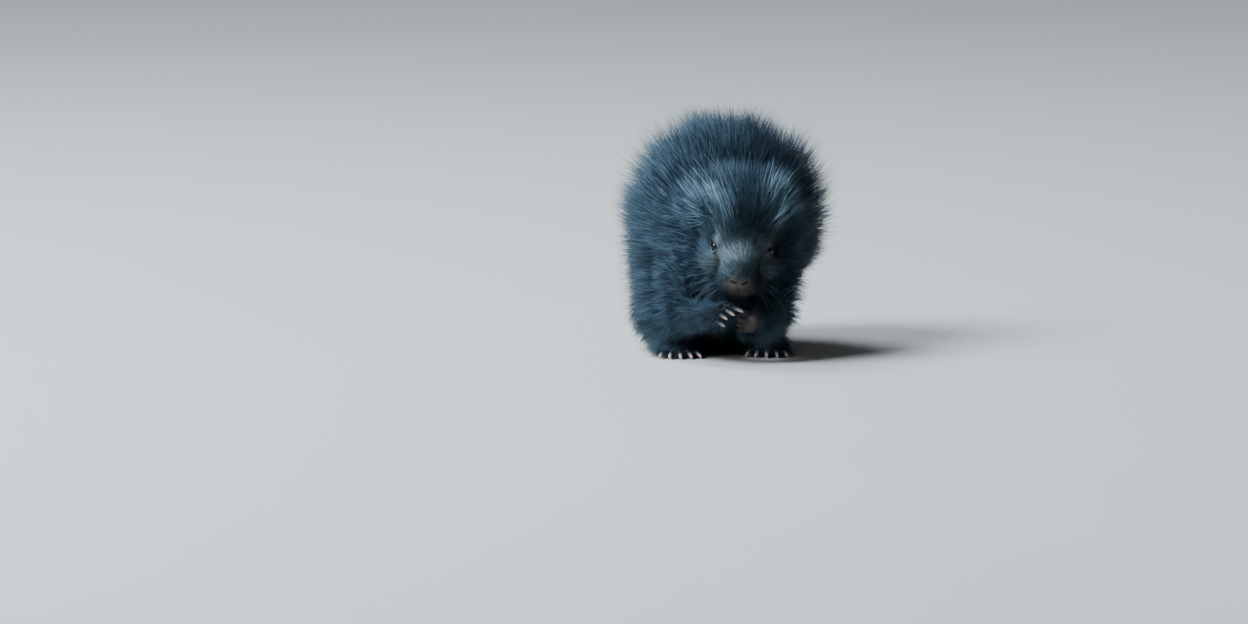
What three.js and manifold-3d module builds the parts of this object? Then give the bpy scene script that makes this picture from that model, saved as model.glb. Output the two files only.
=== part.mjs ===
// A young North American porcupine, life size, sitting hunched over its raised forepaws.
// Millimetres, +Z up, floor at Z = 0. It faces -Y, so its right side is at -X.

import * as THREE from "three";
import { mergeVertices } from "three/addons/utils/BufferGeometryUtils.js";
import { MeshSurfaceSampler } from "three/addons/math/MeshSurfaceSampler.js";
import Module from "manifold-3d";

const wasm = await Module();
wasm.setup();

// Driving dimensions of the animal
const COAT_HEIGHT = 250; // floor to the hair tips over the back
const COAT_WIDTH = 218; // flank to flank, over the hair tips
const TRUNK_LENGTH = 164; // front to back of the rib cage and belly, under the hair
const BACK_DEPTH = 42; // coat depth over the back, skin to tips
const FLANK_DEPTH = 34;
const LEFT_RISE = 8; // extra depth high on the animal's left
const CROWN_DEPTH = 27;
const NECK_DEPTH = 30;
const FACE_DEPTH = 1.6;
const CORE_SHARE = 0.5; // how far the solid core reaches into the coat
const EYE_RADIUS = 5.2;
const EAR_HEIGHT = 21;
const HEAD_DROP = THREE.MathUtils.degToRad(40); // muzzle below the level
const HEAD_ROLL = THREE.MathUtils.degToRad(5); // its left side lower
const BODY_TURN = THREE.MathUtils.degToRad(11); // the rump swings towards the animal's right
const EYE_MIDDLE = [17.5, -105, 118.5]; // the point midway between the eyes
const EYE_PLACE = [26, -2.5, 0]; // the left eye and ear, in the head's frame
const EAR_PLACE = [37, 31, 17];
const GAP = 0.3; // kept between neighbouring pieces
const FLOOR_CLEARANCE = 2; // lowest a hair tip hangs
const SIDES = { right: -1, left: 1 };

const vec = (x, y, z) => new THREE.Vector3(x, y, z);
const mix = THREE.MathUtils.lerp;
const ease = THREE.MathUtils.smoothstep;

// Frames: the body is turned about Z, and the head is bowed about the line of the eyes and rolled a little
const bodyFrame = new THREE.Matrix4().makeRotationZ(BODY_TURN);
const headTurn = new THREE.Euler(HEAD_DROP, HEAD_ROLL, 0, "YXZ");
const headFrame = new THREE.Matrix4().makeRotationFromEuler(headTurn).setPosition(...EYE_MIDDLE);
const roomFrame = new THREE.Matrix4();
const inBody = (x, y, z) => vec(x, y, z).applyMatrix4(bodyFrame);
const inHead = (x, y, z) => vec(x, y, z).applyMatrix4(headFrame);
const fromBody = bodyFrame.clone().invert();
const fromHead = headFrame.clone().invert();

// Fields: each gives a point's distance to a form of flesh, negative inside

function ball(frame, centre, radii, tilt = 0) {
  const turned = new THREE.Matrix4().makeRotationX(tilt).setPosition(...centre);
  const toLocal = turned.premultiply(frame).invert();
  const reach = vec(...radii);
  return (point) => {
    const local = point.clone().applyMatrix4(toLocal).divide(reach);
    const share = local.length();
    const slope = local.divide(reach).length();
    return slope > 1e-9 ? (share * (share - 1)) / slope : -Math.min(...radii);
  };
}

function limb(from, to, startRadius, endRadius) {
  const line = new THREE.Line3(from, to);
  const nearest = vec(0, 0, 0);
  return (point) => {
    const along = line.closestPointToPointParameter(point, true);
    return point.distanceTo(line.at(along, nearest)) - mix(startRadius, endRadius, along);
  };
}

function blend(softness, ...fields) {
  return (point) =>
    fields.reduce((nearest, field) => {
      const other = field(point);
      const overlap = Math.max(softness - Math.abs(nearest - other), 0) / softness;
      return Math.min(nearest, other) - (overlap * overlap * softness) / 4;
    }, Infinity);
}

// Flesh of the trunk, neck and tail
const trunkHalfWidth = COAT_WIDTH / 2 - FLANK_DEPTH;
const trunkHalfHeight = 87;
const trunkMiddle = [5, 24, COAT_HEIGHT - BACK_DEPTH - trunkHalfHeight];
const trunkSkin = blend(
  22,
  ball(bodyFrame, trunkMiddle, [trunkHalfWidth, TRUNK_LENGTH / 2, trunkHalfHeight]),
  ball(bodyFrame, [2, -30, 106], [57, 42, 62]),
  ball(bodyFrame, [-4, 60, 60], [58, 52, 60]),
  ball(bodyFrame, [-6, 4, 58], [53, 60, 46]),
);
const neckMiddle = [14, -56, 137];
const neckSkin = ball(roomFrame, neckMiddle, [42, 30, 43], HEAD_DROP);
const tailRoot = inBody(0, 92, 23);
const tailTip = inBody(-8, 166, 10);
const tailSkin = limb(tailRoot, tailTip, 17, 7);

// Flesh of the head, in its own frame: skull, brow, orbits, muzzle, nose, cheeks and chin
const MUZZLE_MIDDLE = [0, -28, -16];
const headSkin = blend(
  9,
  ball(headFrame, [0, 24, -2], [30, 34, 28]),
  ball(headFrame, [0, -10, 2], [19, 28, 15]),
  ball(headFrame, [-16, 0, -3], [12, 17, 13]),
  ball(headFrame, [16, 0, -3], [12, 17, 13]),
  ball(headFrame, MUZZLE_MIDDLE, [19.5, 15, 18.5]),
  ball(headFrame, [0, -39, -7.5], [11.5, 6, 8]),
  ball(headFrame, [-19, 7, -17], [14, 22, 17]),
  ball(headFrame, [19, 7, -17], [14, 22, 17]),
  ball(headFrame, [0, -14, -31], [13, 18, 10]),
);

// Coat depths, skin to tips

// The hair is short under the belly, and stands out less low on the animal's left than high on it
function trunkDepth(point) {
  const way = point.clone().applyMatrix4(fromBody).sub(vec(...trunkMiddle)).normalize();
  const left = ease(way.x, 0.25, 0.7);
  const above = mix(FLANK_DEPTH, BACK_DEPTH, ease(way.z, 0, 0.8)) + LEFT_RISE * left * ease(way.z, -0.2, 0.15);
  const front = mix(1, 0.55, ease(-way.y, 0.55, 0.95));
  return mix(above * front, 5, ease(-way.z, 0.45 - 0.25 * left, 0.85 - 0.1 * left));
}

// The hair is short on the face, and parts round the eyes and ears
function headDepth(point) {
  const local = point.clone().applyMatrix4(fromHead);
  const eyeRoom = Math.hypot(Math.abs(local.x) - EYE_PLACE[0], local.y - EYE_PLACE[1], local.z - EYE_PLACE[2]);
  const earRoom = Math.hypot(Math.abs(local.x) - EAR_PLACE[0], local.y - EAR_PLACE[1], local.z - EAR_PLACE[2]);
  const cheek = 10 * ease(Math.abs(local.x), 12, 26);
  const back = ease(local.y + cheek, -18, 28) * ease(eyeRoom, 7, 22);
  const top = ease(local.z, -18, 14);
  const full = mix(FACE_DEPTH, mix(15, CROWN_DEPTH, top), back);
  return full * mix(0.45, 1, ease(earRoom, 10, 24));
}

// The neck's hair starts behind the ears
function neckDepth(point) {
  return NECK_DEPTH * ease(point.clone().applyMatrix4(fromHead).y, 14, 46);
}

const tailDepth = () => 20;
const coated = (skin, depth, share) => (point) => skin(point) - share * depth(point);
const headCore = coated(headSkin, headDepth, CORE_SHARE);

// Solids: closed meshes joined and cut

function solid(geometry) {
  const bare = geometry.clone().deleteAttribute("normal").deleteAttribute("uv");
  const merged = mergeVertices(bare, 1e-4);
  const made = new wasm.Manifold(
    new wasm.Mesh({
      numProp: 3,
      vertProperties: new Float32Array(merged.attributes.position.array),
      triVerts: new Uint32Array(merged.index.array),
    }),
  );
  return made;
}

const joined = (pieces) => wasm.Manifold.union(pieces);

function largest(shape) {
  return shape.decompose().reduce((most, one) => (one.volume() > most.volume() ? one : most));
}

function geometryOf(shape) {
  const { numProp, numVert, vertProperties, triVerts } = shape.getMesh();
  const places = new Float32Array(numVert * 3);
  for (let i = 0; i < numVert; i++) {
    places.set(vertProperties.subarray(i * numProp, i * numProp + 3), i * 3);
  }
  return new THREE.BufferGeometry()
    .setAttribute("position", new THREE.BufferAttribute(places, 3))
    .setIndex(new THREE.BufferAttribute(new Uint32Array(triVerts), 1));
}

// Moves each vertex of a geometry by a function of its old place
function reshaped(geometry, move) {
  const places = geometry.attributes.position;
  for (let i = 0; i < places.count; i++) {
    const moved = move(vec(0, 0, 0).fromBufferAttribute(places, i));
    places.setXYZ(i, moved.x, moved.y, moved.z);
  }
  return geometry;
}

// A ball stretched along a line, each vertex sent outwards until it meets the field
function wrapped(field, from, to, detail) {
  const middle = from.clone().lerp(to, 0.5);
  const half = to.clone().sub(middle);
  const axis = half.lengthSq() > 0 ? half.clone().normalize() : vec(0, 0, 0);
  const marched = (way) => {
    const point = middle.clone().addScaledVector(half, way.dot(axis));
    for (let step = 0; step < 60; step++) {
      point.addScaledVector(way, -0.9 * field(point));
    }
    return point;
  };
  const sphere = mergeVertices(
    new THREE.IcosahedronGeometry(1, detail).deleteAttribute("normal").deleteAttribute("uv"),
    1e-4,
  );
  return reshaped(sphere, (way) => marched(way.normalize()));
}

// The floor as a cutting block, so that what rests on it is flat at Z = 0
const floor = solid(new THREE.BoxGeometry(900, 900, 200).translate(0, 0, -100));

// A cone bent along a path, flattened and filled out like a leaf: a lock of hair or a claw
function bentCone(path, widthWay, width, thickness, sides, rings, fill) {
  const cone = new THREE.ConeGeometry(1, 1, sides, rings).translate(0, 0.5, 0);
  return reshaped(cone, ({ x, y, z }) => {
    const { point, tangent } = path(y);
    const across = widthWay.clone().addScaledVector(tangent, -widthWay.dot(tangent)).normalize();
    const out = across.clone().cross(tangent);
    const fuller = (1 - Math.min(y, 0.99)) ** -fill;
    point.addScaledVector(across, (x * width * fuller) / 2);
    return point.addScaledVector(out, (z * thickness * fuller) / 2);
  });
}

// A path that bends away from its way, its end set forward by an extra stretch
function curvedPath(start, way, bend, length, extra = 0) {
  return (share) => {
    const along = share * length + (share === 1 ? extra : 0);
    const point = start.clone().addScaledVector(way, along);
    const tangent = way.clone().addScaledVector(bend, (2 * along) / length).normalize();
    return { point: point.addScaledVector(bend, (along * along) / length), tangent };
  };
}

// Eyes, lids, nostrils, mouth line and ears

const onSide = (side, [x, y, z]) => vec(side * x, y, z);

function eyeball(side, grow = 0) {
  const { x, y, z } = onSide(side, EYE_PLACE).applyMatrix4(headFrame);
  return solid(new THREE.SphereGeometry(EYE_RADIUS + grow, 12, 6).translate(x, y, z));
}

const eyeWay = (side) => vec(side * 0.74, -0.42, 0.52).normalize();

function lids(side) {
  const lidRing = 5.2;
  const lidTube = 1.3;
  const lidRise = 2.3;
  const ring = new THREE.TorusGeometry(lidRing, lidTube, 5, 12).scale(1, 0.95, 1);
  const facing = new THREE.Quaternion().setFromUnitVectors(vec(0, 0, 1), eyeWay(side));
  const raised = eyeWay(side).multiplyScalar(lidRise).add(onSide(side, EYE_PLACE));
  ring.applyQuaternion(facing).translate(raised.x, raised.y, raised.z);
  return solid(ring.applyMatrix4(headFrame));
}

function nostril(side) {
  const slit = new THREE.SphereGeometry(1, 8, 5).scale(4.6, 5, 1.3);
  slit.rotateY(-side * 0.38).translate(side * 5.6, -44.5, -6);
  return solid(slit.applyMatrix4(headFrame));
}

// A place in the head's frame moved straight out of the muzzle, or into it, until it lies on the surface
function onMuzzle(place) {
  const way = place.clone().sub(vec(...MUZZLE_MIDDLE)).normalize();
  const point = place.clone();
  for (let step = 0; step < 20; step++) {
    point.addScaledVector(way, -0.8 * headCore(inHead(point.x, point.y, point.z)));
  }
  return point;
}

// The lips' line runs from under the nose back to each corner of the mouth
const mouthPlaces = [-1, -0.65, 0, 0.65, 1].map((side) => {
  const back = side * side;
  return vec(18 * side, -40 + 20 * back, -28 + back);
});
const mouthLine = new THREE.CatmullRomCurve3(mouthPlaces.map(onMuzzle));

function alongMouth(radius, lift, steps) {
  const section = new THREE.Shape().absarc(0, 0, radius, 0, 2 * Math.PI);
  const tube = new THREE.ExtrudeGeometry(section, {
    steps,
    curveSegments: 5,
    bevelEnabled: false,
    extrudePath: mouthLine,
  });
  return solid(tube.translate(0, 0, lift).applyMatrix4(headFrame));
}

function cleft() {
  const groove = new THREE.CylinderGeometry(0.8, 1.2, 14, 6);
  return solid(groove.translate(0, -43.6, -19).applyMatrix4(headFrame));
}

function ear(side, grow = 0) {
  const width = 17 + 2 * grow;
  const thick = 7 + 2 * grow;
  const height = EAR_HEIGHT + 2 * grow;
  const shell = new THREE.SphereGeometry(0.5, 10, 6).scale(width, thick, height);
  const hollow = new THREE.SphereGeometry(0.5, 9, 5).scale(width - 5, thick, height - 6);
  hollow.translate(0, -thick * 0.42, 1.5);
  const cup = grow > 0 ? solid(shell) : solid(shell).subtract(solid(hollow));
  const turn = new THREE.Matrix4().makeRotationFromEuler(new THREE.Euler(-0.35, side * 0.5, side * 0.5));
  turn.setPosition(onSide(side, EAR_PLACE));
  const frame = headFrame.clone().multiply(turn);
  return cup.transform(frame.elements);
}

// Paws, feet and their claws. A digit is a limb from knuckle to tip that ends in a claw

const forepaws = {
  right: {
    wrist: vec(-21, -103, 47),
    palm: vec(-10, -114, 50),
    digits: [
      { knuckle: vec(-6, -117, 57), tip: vec(5, -125, 61), claw: vec(0.8, -0.3, -0.25) },
      { knuckle: vec(-9.5, -119, 56), tip: vec(0.2, -128, 58), claw: vec(0.6, -0.68, -0.24) },
      { knuckle: vec(-14, -120, 53), tip: vec(-6.5, -128, 54.2), claw: vec(0.55, -0.7, -0.26) },
      { knuckle: vec(-17, -119, 48), tip: vec(-10.1, -126, 47.4), claw: vec(0.62, -0.62, -0.33) },
    ],
    bend: vec(0.05, 0.4, -0.12),
  },
  left: {
    wrist: vec(40, -100, 42),
    palm: vec(30, -109, 41),
    digits: [
      { knuckle: vec(24, -111, 49), tip: vec(17, -113, 54), claw: vec(-0.5, 0.75, 0.3) },
      { knuckle: vec(22, -112, 44), tip: vec(14.5, -114, 47.5), claw: vec(-0.45, 0.85, 0.1) },
      { knuckle: vec(22, -111, 39), tip: vec(14.5, -112.5, 41), claw: vec(-0.45, 0.85, 0) },
      { knuckle: vec(23, -109, 34.5), tip: vec(16, -109.5, 35), claw: vec(-0.5, 0.8, -0.1) },
    ],
    bend: vec(0.3, 0.1, 0.05),
  },
};
const FORE_DIGIT_RADIUS = 3.3;
const FORE_CLAW = { length: 14, width: 4.3, thickness: 3.6 };
const HIND_TOES = 5;
const HIND_TOE_RADIUS = 3.9;
const HIND_CLAW = { length: 14, width: 4.4, thickness: 3.8 };
const CLAW_FULLNESS = 0.5; // 0 tapers evenly, more keeps the claw thick towards a blunt point

const hindFeet = {
  right: { heel: vec(-56, -2, 10), ball: vec(-47, -52, 9), out: 0.16 },
  left: { heel: vec(38, 10, 10), ball: vec(45, -42, 9), out: -0.08 },
};

function hindToes(name) {
  const { ball: pad, out } = hindFeet[name];
  return Array.from({ length: HIND_TOES }, (_, i) => {
    const spread = (i - (HIND_TOES - 1) / 2) / 2;
    const angle = out * 0.6 + spread * 0.42;
    const way = vec(Math.sin(angle), -Math.cos(angle), 0);
    const knuckle = pad.clone().add(vec(spread * 10, 2 * Math.abs(spread), -1));
    const reach = 19 - 3.5 * spread * spread;
    const tip = knuckle.clone().addScaledVector(way, reach).setZ(6);
    return { knuckle, tip, claw: way.setZ(-0.02) };
  });
}

function claw({ knuckle, tip, claw: way }, bend, { length, width, thickness }, grow = 0) {
  const along = way.clone().normalize();
  const start = tip.clone().addScaledVector(tip.clone().sub(knuckle).normalize(), -1.2);
  const side = along.clone().cross(bend).normalize();
  const path = curvedPath(start, along, bend, length, 2 * grow);
  return solid(bentCone(path, side, width + 2 * grow, thickness + 2 * grow, 6, 4, CLAW_FULLNESS));
}

const clawBend = { fore: (name) => forepaws[name].bend, hind: () => vec(0, 0, -0.3) };

function pawSolid(digits, palm, digitRadius) {
  const fingers = digits.map(({ knuckle, tip }) => {
    const way = tip.clone().sub(knuckle);
    const finger = new THREE.CapsuleGeometry(digitRadius, way.length(), 2, 6);
    const turn = new THREE.Quaternion().setFromUnitVectors(vec(0, 1, 0), way.clone().normalize());
    const middle = knuckle.clone().addScaledVector(way, 0.5);
    return solid(finger.applyQuaternion(turn).translate(middle.x, middle.y, middle.z));
  });
  return joined([palm, ...fingers]);
}

function forepaw(name, grow = 0) {
  const { wrist, palm, digits } = forepaws[name];
  const field = blend(6, limb(wrist, palm, 7 + grow, 9 + grow), limb(palm, palm, 9.5 + grow, 9.5 + grow));
  const hand = solid(wrapped(field, wrist, palm, 2));
  return pawSolid(digits, hand, FORE_DIGIT_RADIUS + grow);
}

function hindFoot(name, grow = 0) {
  const { heel, ball: pad } = hindFeet[name];
  const field = blend(8, limb(heel, pad, 11 + grow, 11 + grow), limb(pad, pad, 13 + grow, 13 + grow));
  const sole = solid(wrapped(field, heel, pad, 2));
  return pawSolid(hindToes(name), sole, HIND_TOE_RADIUS + grow).subtract(floor);
}

// Legs

const armPoints = {
  right: { shoulder: vec(-42, -50, 90), elbow: vec(-42, -72, 48), wrist: forepaws.right.wrist },
  left: { shoulder: vec(56, -42, 90), elbow: vec(51, -64, 48), wrist: forepaws.left.wrist },
};
const armDepth = () => 17;

function armSkin(name) {
  const { shoulder, elbow, wrist } = armPoints[name];
  return blend(8, limb(shoulder, elbow, 15, 10), limb(elbow, wrist, 10, 5));
}

const hips = { right: [-56, 6, 51], left: [35, 6, 51] };
const legDepth = () => 22;

function legSkin(name) {
  const thigh = hips[name];
  const knee = inBody(thigh[0], thigh[1], 0).add(vec(0, -34, 30));
  return blend(12, ball(bodyFrame, thigh, [21, 42, 41]), limb(knee, hindFeet[name].heel, 11, 8));
}

// The coat: locks of hair set on a core, that stream away from the muzzle and stand half out

const muzzle = inHead(0, -30, -8);

function seeded(seed) {
  let state = seed;
  return () => {
    state = (state * 1664525 + 1013904223) % 4294967296;
    return state / 4294967296;
  };
}

// Evenly spread roots: random points of a surface, each kept if no earlier one is near
function spreadRoots(geometry, spacing, allowed, seed) {
  const random = seeded(seed);
  const skin = new THREE.Mesh(geometry.index ? geometry.toNonIndexed() : geometry);
  const sampler = new MeshSurfaceSampler(skin).setRandomGenerator(random).build();
  const roots = [];
  for (let attempt = 0; attempt < 9000; attempt++) {
    const point = vec(0, 0, 0);
    const normal = vec(0, 0, 0);
    sampler.sample(point, normal);
    if (allowed(point, normal) && roots.every((root) => root.point.distanceTo(point) > spacing)) {
      roots.push({ point, normal: normal.normalize(), luck: random() });
    }
  }
  return roots;
}

const STAND = 0.66; // how much of a lock's way is straight out of the skin
const LEAN = 0.75; // and how much along the lie of the coat
const SIDLE = 0.22; // the most that a lock strays sideways
const DROOP = 0.16;
const CURL = 0.13; // how far a lock bends in to follow the round of the body
const DRIFT = 0.2; // how far its end is carried on along the lie
const DOWNWARD = 0.12;
const LENGTH_SPREAD = 0.24;
const LOCK_SINK = 6; // root inside the core
const LOCK_SIDES = 3;
const LOCK_FULLNESS = 0.5;
const THINNEST_LOCK = 2.4;
const THICKEST_LOCK = 5.5;
const THICKNESS_SHARE = 0.16; // of the width, added to the thinnest

// A three-sided lock's faces lie closer to its middle than its edges, so it is grown by more than the gap
const WIDTH_GROWTH = 16;
const THICKNESS_GROWTH = 6;
const TIP_GROWTH = 3;

function lock({ point, normal, luck }, depth, width, rings, grow = 0) {
  const stream = point.clone().sub(muzzle).normalize().add(vec(0, 0, -DOWNWARD));
  const lie = stream.addScaledVector(normal, -stream.dot(normal)).normalize();
  const sidle = normal.clone().cross(lie).multiplyScalar(SIDLE * (luck - 0.5));
  const way = normal.clone().multiplyScalar(STAND).addScaledVector(lie, LEAN).add(sidle).normalize();
  const reach = (depth * (1 - CORE_SHARE) * (1 + LENGTH_SPREAD * (luck - 0.5))) / (STAND - DROOP);
  const bend = lie.clone().multiplyScalar(DRIFT).addScaledVector(normal, -DROOP - CURL);
  const start = point.clone().addScaledVector(way, -LOCK_SINK);
  const length = reach + LOCK_SINK;
  const tip = curvedPath(start, way, bend, length)(1).point;
  if (tip.z < FLOOR_CLEARANCE) {
    bend.z += (FLOOR_CLEARANCE - tip.z) / length;
  }
  const grownWidth = width + WIDTH_GROWTH * grow;
  const thickness = Math.min(THICKEST_LOCK, THINNEST_LOCK + THICKNESS_SHARE * width);
  const path = curvedPath(start, way, bend, length, TIP_GROWTH * grow);
  const grownThickness = thickness + THICKNESS_GROWTH * grow;
  return solid(bentCone(path, lie.cross(normal), grownWidth, grownThickness, LOCK_SIDES, rings, LOCK_FULLNESS));
}

// A coated node: its core with its locks, grown a little where a neighbour is to be cut clear of it
function coatedNode({ skin, depth, from, to, detail, spacing, width, rings, allowed, seed, end }) {
  const core = wrapped(coated(skin, depth, CORE_SHARE), from, to, detail);
  const roots = spreadRoots(core, spacing, allowed, seed);
  return (grow) => {
    const grown = (point) => skin(point) - CORE_SHARE * depth(point) - grow;
    const whole = solid(grow ? wrapped(grown, from, to, detail) : core);
    const locks = roots.map((root) => lock(root, depth(root.point), width, rings, grow));
    return joined([end ? whole.subtract(end(grow)) : whole, ...locks]);
  };
}

const clearOf = (...fields) => (point) => fields.every((field) => field(point) > 5);
const neckCore = coated(neckSkin, neckDepth, CORE_SHARE);
const tailCore = coated(tailSkin, tailDepth, CORE_SHARE);
const armCores = Object.keys(SIDES).map((name) => coated(armSkin(name), armDepth, CORE_SHARE));
const legCores = Object.keys(SIDES).map((name) => coated(legSkin(name), legDepth, CORE_SHARE));
const trunkCore = coated(trunkSkin, trunkDepth, CORE_SHARE);

// The head ends at a flat face inside the neck
const NAPE = 40; // from the eyes back
function nape(grow) {
  const depth = 100;
  const block = new THREE.BoxGeometry(160, depth, 160).translate(0, depth / 2 + NAPE + grow, 0);
  return solid(block.applyMatrix4(headFrame));
}

const headNode = coatedNode({
  skin: headSkin,
  depth: headDepth,
  from: inHead(0, -14, -9),
  to: inHead(0, 22, -7),
  detail: 6,
  spacing: 15,
  width: 15,
  rings: 3,
  allowed: (point) => headDepth(point) > 7 && point.clone().applyMatrix4(fromHead).y < NAPE,
  seed: 11,
  end: nape,
});

const neckNode = coatedNode({
  skin: neckSkin,
  depth: neckDepth,
  from: vec(...neckMiddle),
  to: vec(...neckMiddle),
  detail: 3,
  spacing: 20,
  width: 22,
  rings: 3,
  allowed: clearOf(headCore, trunkCore),
  seed: 12,
});

const tailNode = coatedNode({
  skin: tailSkin,
  depth: tailDepth,
  from: tailRoot,
  to: tailTip,
  detail: 2,
  spacing: 18,
  width: 18,
  rings: 2,
  allowed: (point) => trunkCore(point) > 5 && point.z > 8,
  seed: 13,
});

const armNode = (name, seed) => {
  const { shoulder, elbow } = armPoints[name];
  return coatedNode({
    skin: armSkin(name),
    depth: armDepth,
    from: shoulder,
    to: elbow,
    detail: 2,
    spacing: 18,
    width: 18,
    rings: 2,
    allowed: (point) => trunkCore(point) > 5 && point.z > 26 && point.y > -92,
    seed,
  });
};

const legNode = (name, seed) => {
  const [x, y, z] = hips[name];
  return coatedNode({
    skin: legSkin(name),
    depth: legDepth,
    from: inBody(x, y - 20, z - 7),
    to: inBody(x, y + 18, z - 7),
    detail: 3,
    spacing: 21,
    width: 22,
    rings: 2,
    allowed: (point) => trunkCore(point) > 5 && point.z > 18,
    seed,
  });
};

const trunkNode = coatedNode({
  skin: trunkSkin,
  depth: trunkDepth,
  from: inBody(0, 0, 100),
  to: inBody(0, 34, 88),
  detail: 4,
  spacing: 25,
  width: 29,
  rings: 3,
  allowed: (point) =>
    clearOf(headCore, neckCore, tailCore, ...armCores, ...legCores)(point) && point.z > 30,
  seed: 14,
});

// Assembly: each piece is cut clear of those that were made before it
const made = [];

function cutClear(shape, neighbours) {
  return largest(neighbours.reduce((rest, other) => rest.subtract(other), shape));
}

const MATERIALS = {
  coat: new THREE.MeshStandardMaterial({ color: 0x1b2229, roughness: 0.75, metalness: 0 }),
  face: new THREE.MeshStandardMaterial({ color: 0x2b2e2f, roughness: 0.85, metalness: 0 }),
  paw: new THREE.MeshStandardMaterial({ color: 0x2a2321, roughness: 0.7, metalness: 0 }),
  claw: new THREE.MeshStandardMaterial({ color: 0x8d8580, roughness: 0.45, metalness: 0 }),
  eye: new THREE.MeshStandardMaterial({ color: 0x07070a, roughness: 0.08, metalness: 0 }),
};

function add(name, shape, material) {
  const mesh = new THREE.Mesh(geometryOf(largest(shape)), material);
  mesh.name = name;
  made.push(mesh);
}

const sideNames = Object.keys(SIDES);
const earsGrown = sideNames.map((name) => ear(SIDES[name], GAP));
const trunkGrown = trunkNode(GAP);
const neckGrown = neckNode(GAP);
sideNames.forEach((name) => {
  add(`eye_${name}`, eyeball(SIDES[name]), MATERIALS.eye);
  add(`ear_${name}`, ear(SIDES[name]), MATERIALS.face);
});
add("torso", cutClear(trunkNode(0), [floor, ...earsGrown]), MATERIALS.coat);
add("neck", cutClear(neckNode(0), [...earsGrown, trunkGrown]), MATERIALS.coat);

// Head, with raised lids, slit nostrils, a cleft lip and the mouth's line between its lips
const headCuts = [
  ...sideNames.map((name) => eyeball(SIDES[name], GAP)),
  ...sideNames.map((name) => nostril(SIDES[name])),
  alongMouth(0.9, 0, 10),
  cleft(),
];
const lips = joined([alongMouth(1.7, 1.7, 10), alongMouth(1.5, -1.7, 10)]);
const headWhole = joined([headNode(0), lips, ...sideNames.map((name) => lids(SIDES[name]))]);
const headGrown = headNode(GAP);
add("head", cutClear(headWhole, [...headCuts, ...earsGrown, trunkGrown, neckGrown]), MATERIALS.face);

// Paws and feet, each with its claws set into its digits
const pawsGrown = [];
sideNames.forEach((name) => {
  const claws = { fore: forepaws[name].digits, hind: hindToes(name) };
  const sizes = { fore: FORE_CLAW, hind: HIND_CLAW };
  const cuts = { fore: [], hind: [] };
  for (const limbName of ["fore", "hind"]) {
    claws[limbName].forEach((digit, i) => {
      const bend = clawBend[limbName](name);
      add(`claw_${limbName}_${name}_${i + 1}`, claw(digit, bend, sizes[limbName]), MATERIALS.claw);
      cuts[limbName].push(claw(digit, bend, sizes[limbName], GAP));
    });
  }
  add(`forepaw_${name}`, cutClear(forepaw(name), cuts.fore), MATERIALS.paw);
  add(`hind_foot_${name}`, cutClear(hindFoot(name), cuts.hind), MATERIALS.paw);
  pawsGrown.push(forepaw(name, GAP), hindFoot(name, GAP), ...cuts.fore, ...cuts.hind);
});

// Legs and tail end where they meet the trunk
const armNodes = [armNode("right", 21), armNode("left", 22)];
const legNodes = [legNode("right", 23), legNode("left", 24)];
const armsGrown = armNodes.map((node) => node(GAP));
const legsGrown = legNodes.map((node) => node(GAP));
const bodyGrown = [trunkGrown, neckGrown, headGrown];
sideNames.forEach((name, i) => {
  const clear = [floor, ...bodyGrown, ...pawsGrown];
  add(`foreleg_${name}`, cutClear(armNodes[i](0), clear), MATERIALS.coat);
  add(`hind_leg_${name}`, cutClear(legNodes[i](0), [...clear, ...armsGrown]), MATERIALS.coat);
});
add("tail", cutClear(tailNode(0), [floor, trunkGrown, ...legsGrown]), MATERIALS.coat);

// The part's origin is the middle of its footprint, on the floor
const porcupine = new THREE.Group();
porcupine.add(...made);
const box = new THREE.Box3().setFromObject(porcupine, true);
porcupine.position.set(-(box.min.x + box.max.x) / 2, -(box.min.y + box.max.y) / 2, 0);

export default porcupine;
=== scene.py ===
import math

import bmesh
import bpy
import numpy as np
from bpy.props import FloatProperty, FloatVectorProperty, IntProperty, PointerProperty
from mathutils import Matrix, Vector
from mathutils.kdtree import KDTree


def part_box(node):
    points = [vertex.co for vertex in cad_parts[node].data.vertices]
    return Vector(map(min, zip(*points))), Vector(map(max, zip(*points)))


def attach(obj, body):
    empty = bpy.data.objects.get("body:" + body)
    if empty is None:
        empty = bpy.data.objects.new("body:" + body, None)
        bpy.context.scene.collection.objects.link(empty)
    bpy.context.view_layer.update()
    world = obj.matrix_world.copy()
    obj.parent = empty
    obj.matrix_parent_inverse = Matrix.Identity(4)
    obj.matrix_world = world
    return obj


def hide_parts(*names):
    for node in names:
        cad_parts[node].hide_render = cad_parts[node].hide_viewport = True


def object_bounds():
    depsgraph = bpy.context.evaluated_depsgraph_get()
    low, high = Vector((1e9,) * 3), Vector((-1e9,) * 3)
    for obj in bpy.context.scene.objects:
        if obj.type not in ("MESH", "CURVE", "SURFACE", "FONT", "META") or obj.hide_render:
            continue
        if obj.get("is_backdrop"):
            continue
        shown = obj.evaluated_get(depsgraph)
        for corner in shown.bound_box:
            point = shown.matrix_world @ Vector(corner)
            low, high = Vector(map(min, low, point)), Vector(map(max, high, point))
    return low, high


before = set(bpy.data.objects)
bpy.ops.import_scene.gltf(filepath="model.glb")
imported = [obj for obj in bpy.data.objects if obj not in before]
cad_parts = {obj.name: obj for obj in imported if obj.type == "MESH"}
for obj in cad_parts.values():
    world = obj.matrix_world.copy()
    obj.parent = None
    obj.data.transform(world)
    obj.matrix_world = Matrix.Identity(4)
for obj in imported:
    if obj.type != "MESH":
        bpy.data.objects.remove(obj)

bl_info = {
    "name": "Young porcupine model",
    "version": (1, 0, 0),
    "blender": (4, 5, 0),
    "location": "View3D > Sidebar > Porcupine",
    "description": "Builds a still, life-size young porcupine with its coat, whiskers, eyes and claws",
    "category": "Add Mesh",
}

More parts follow.
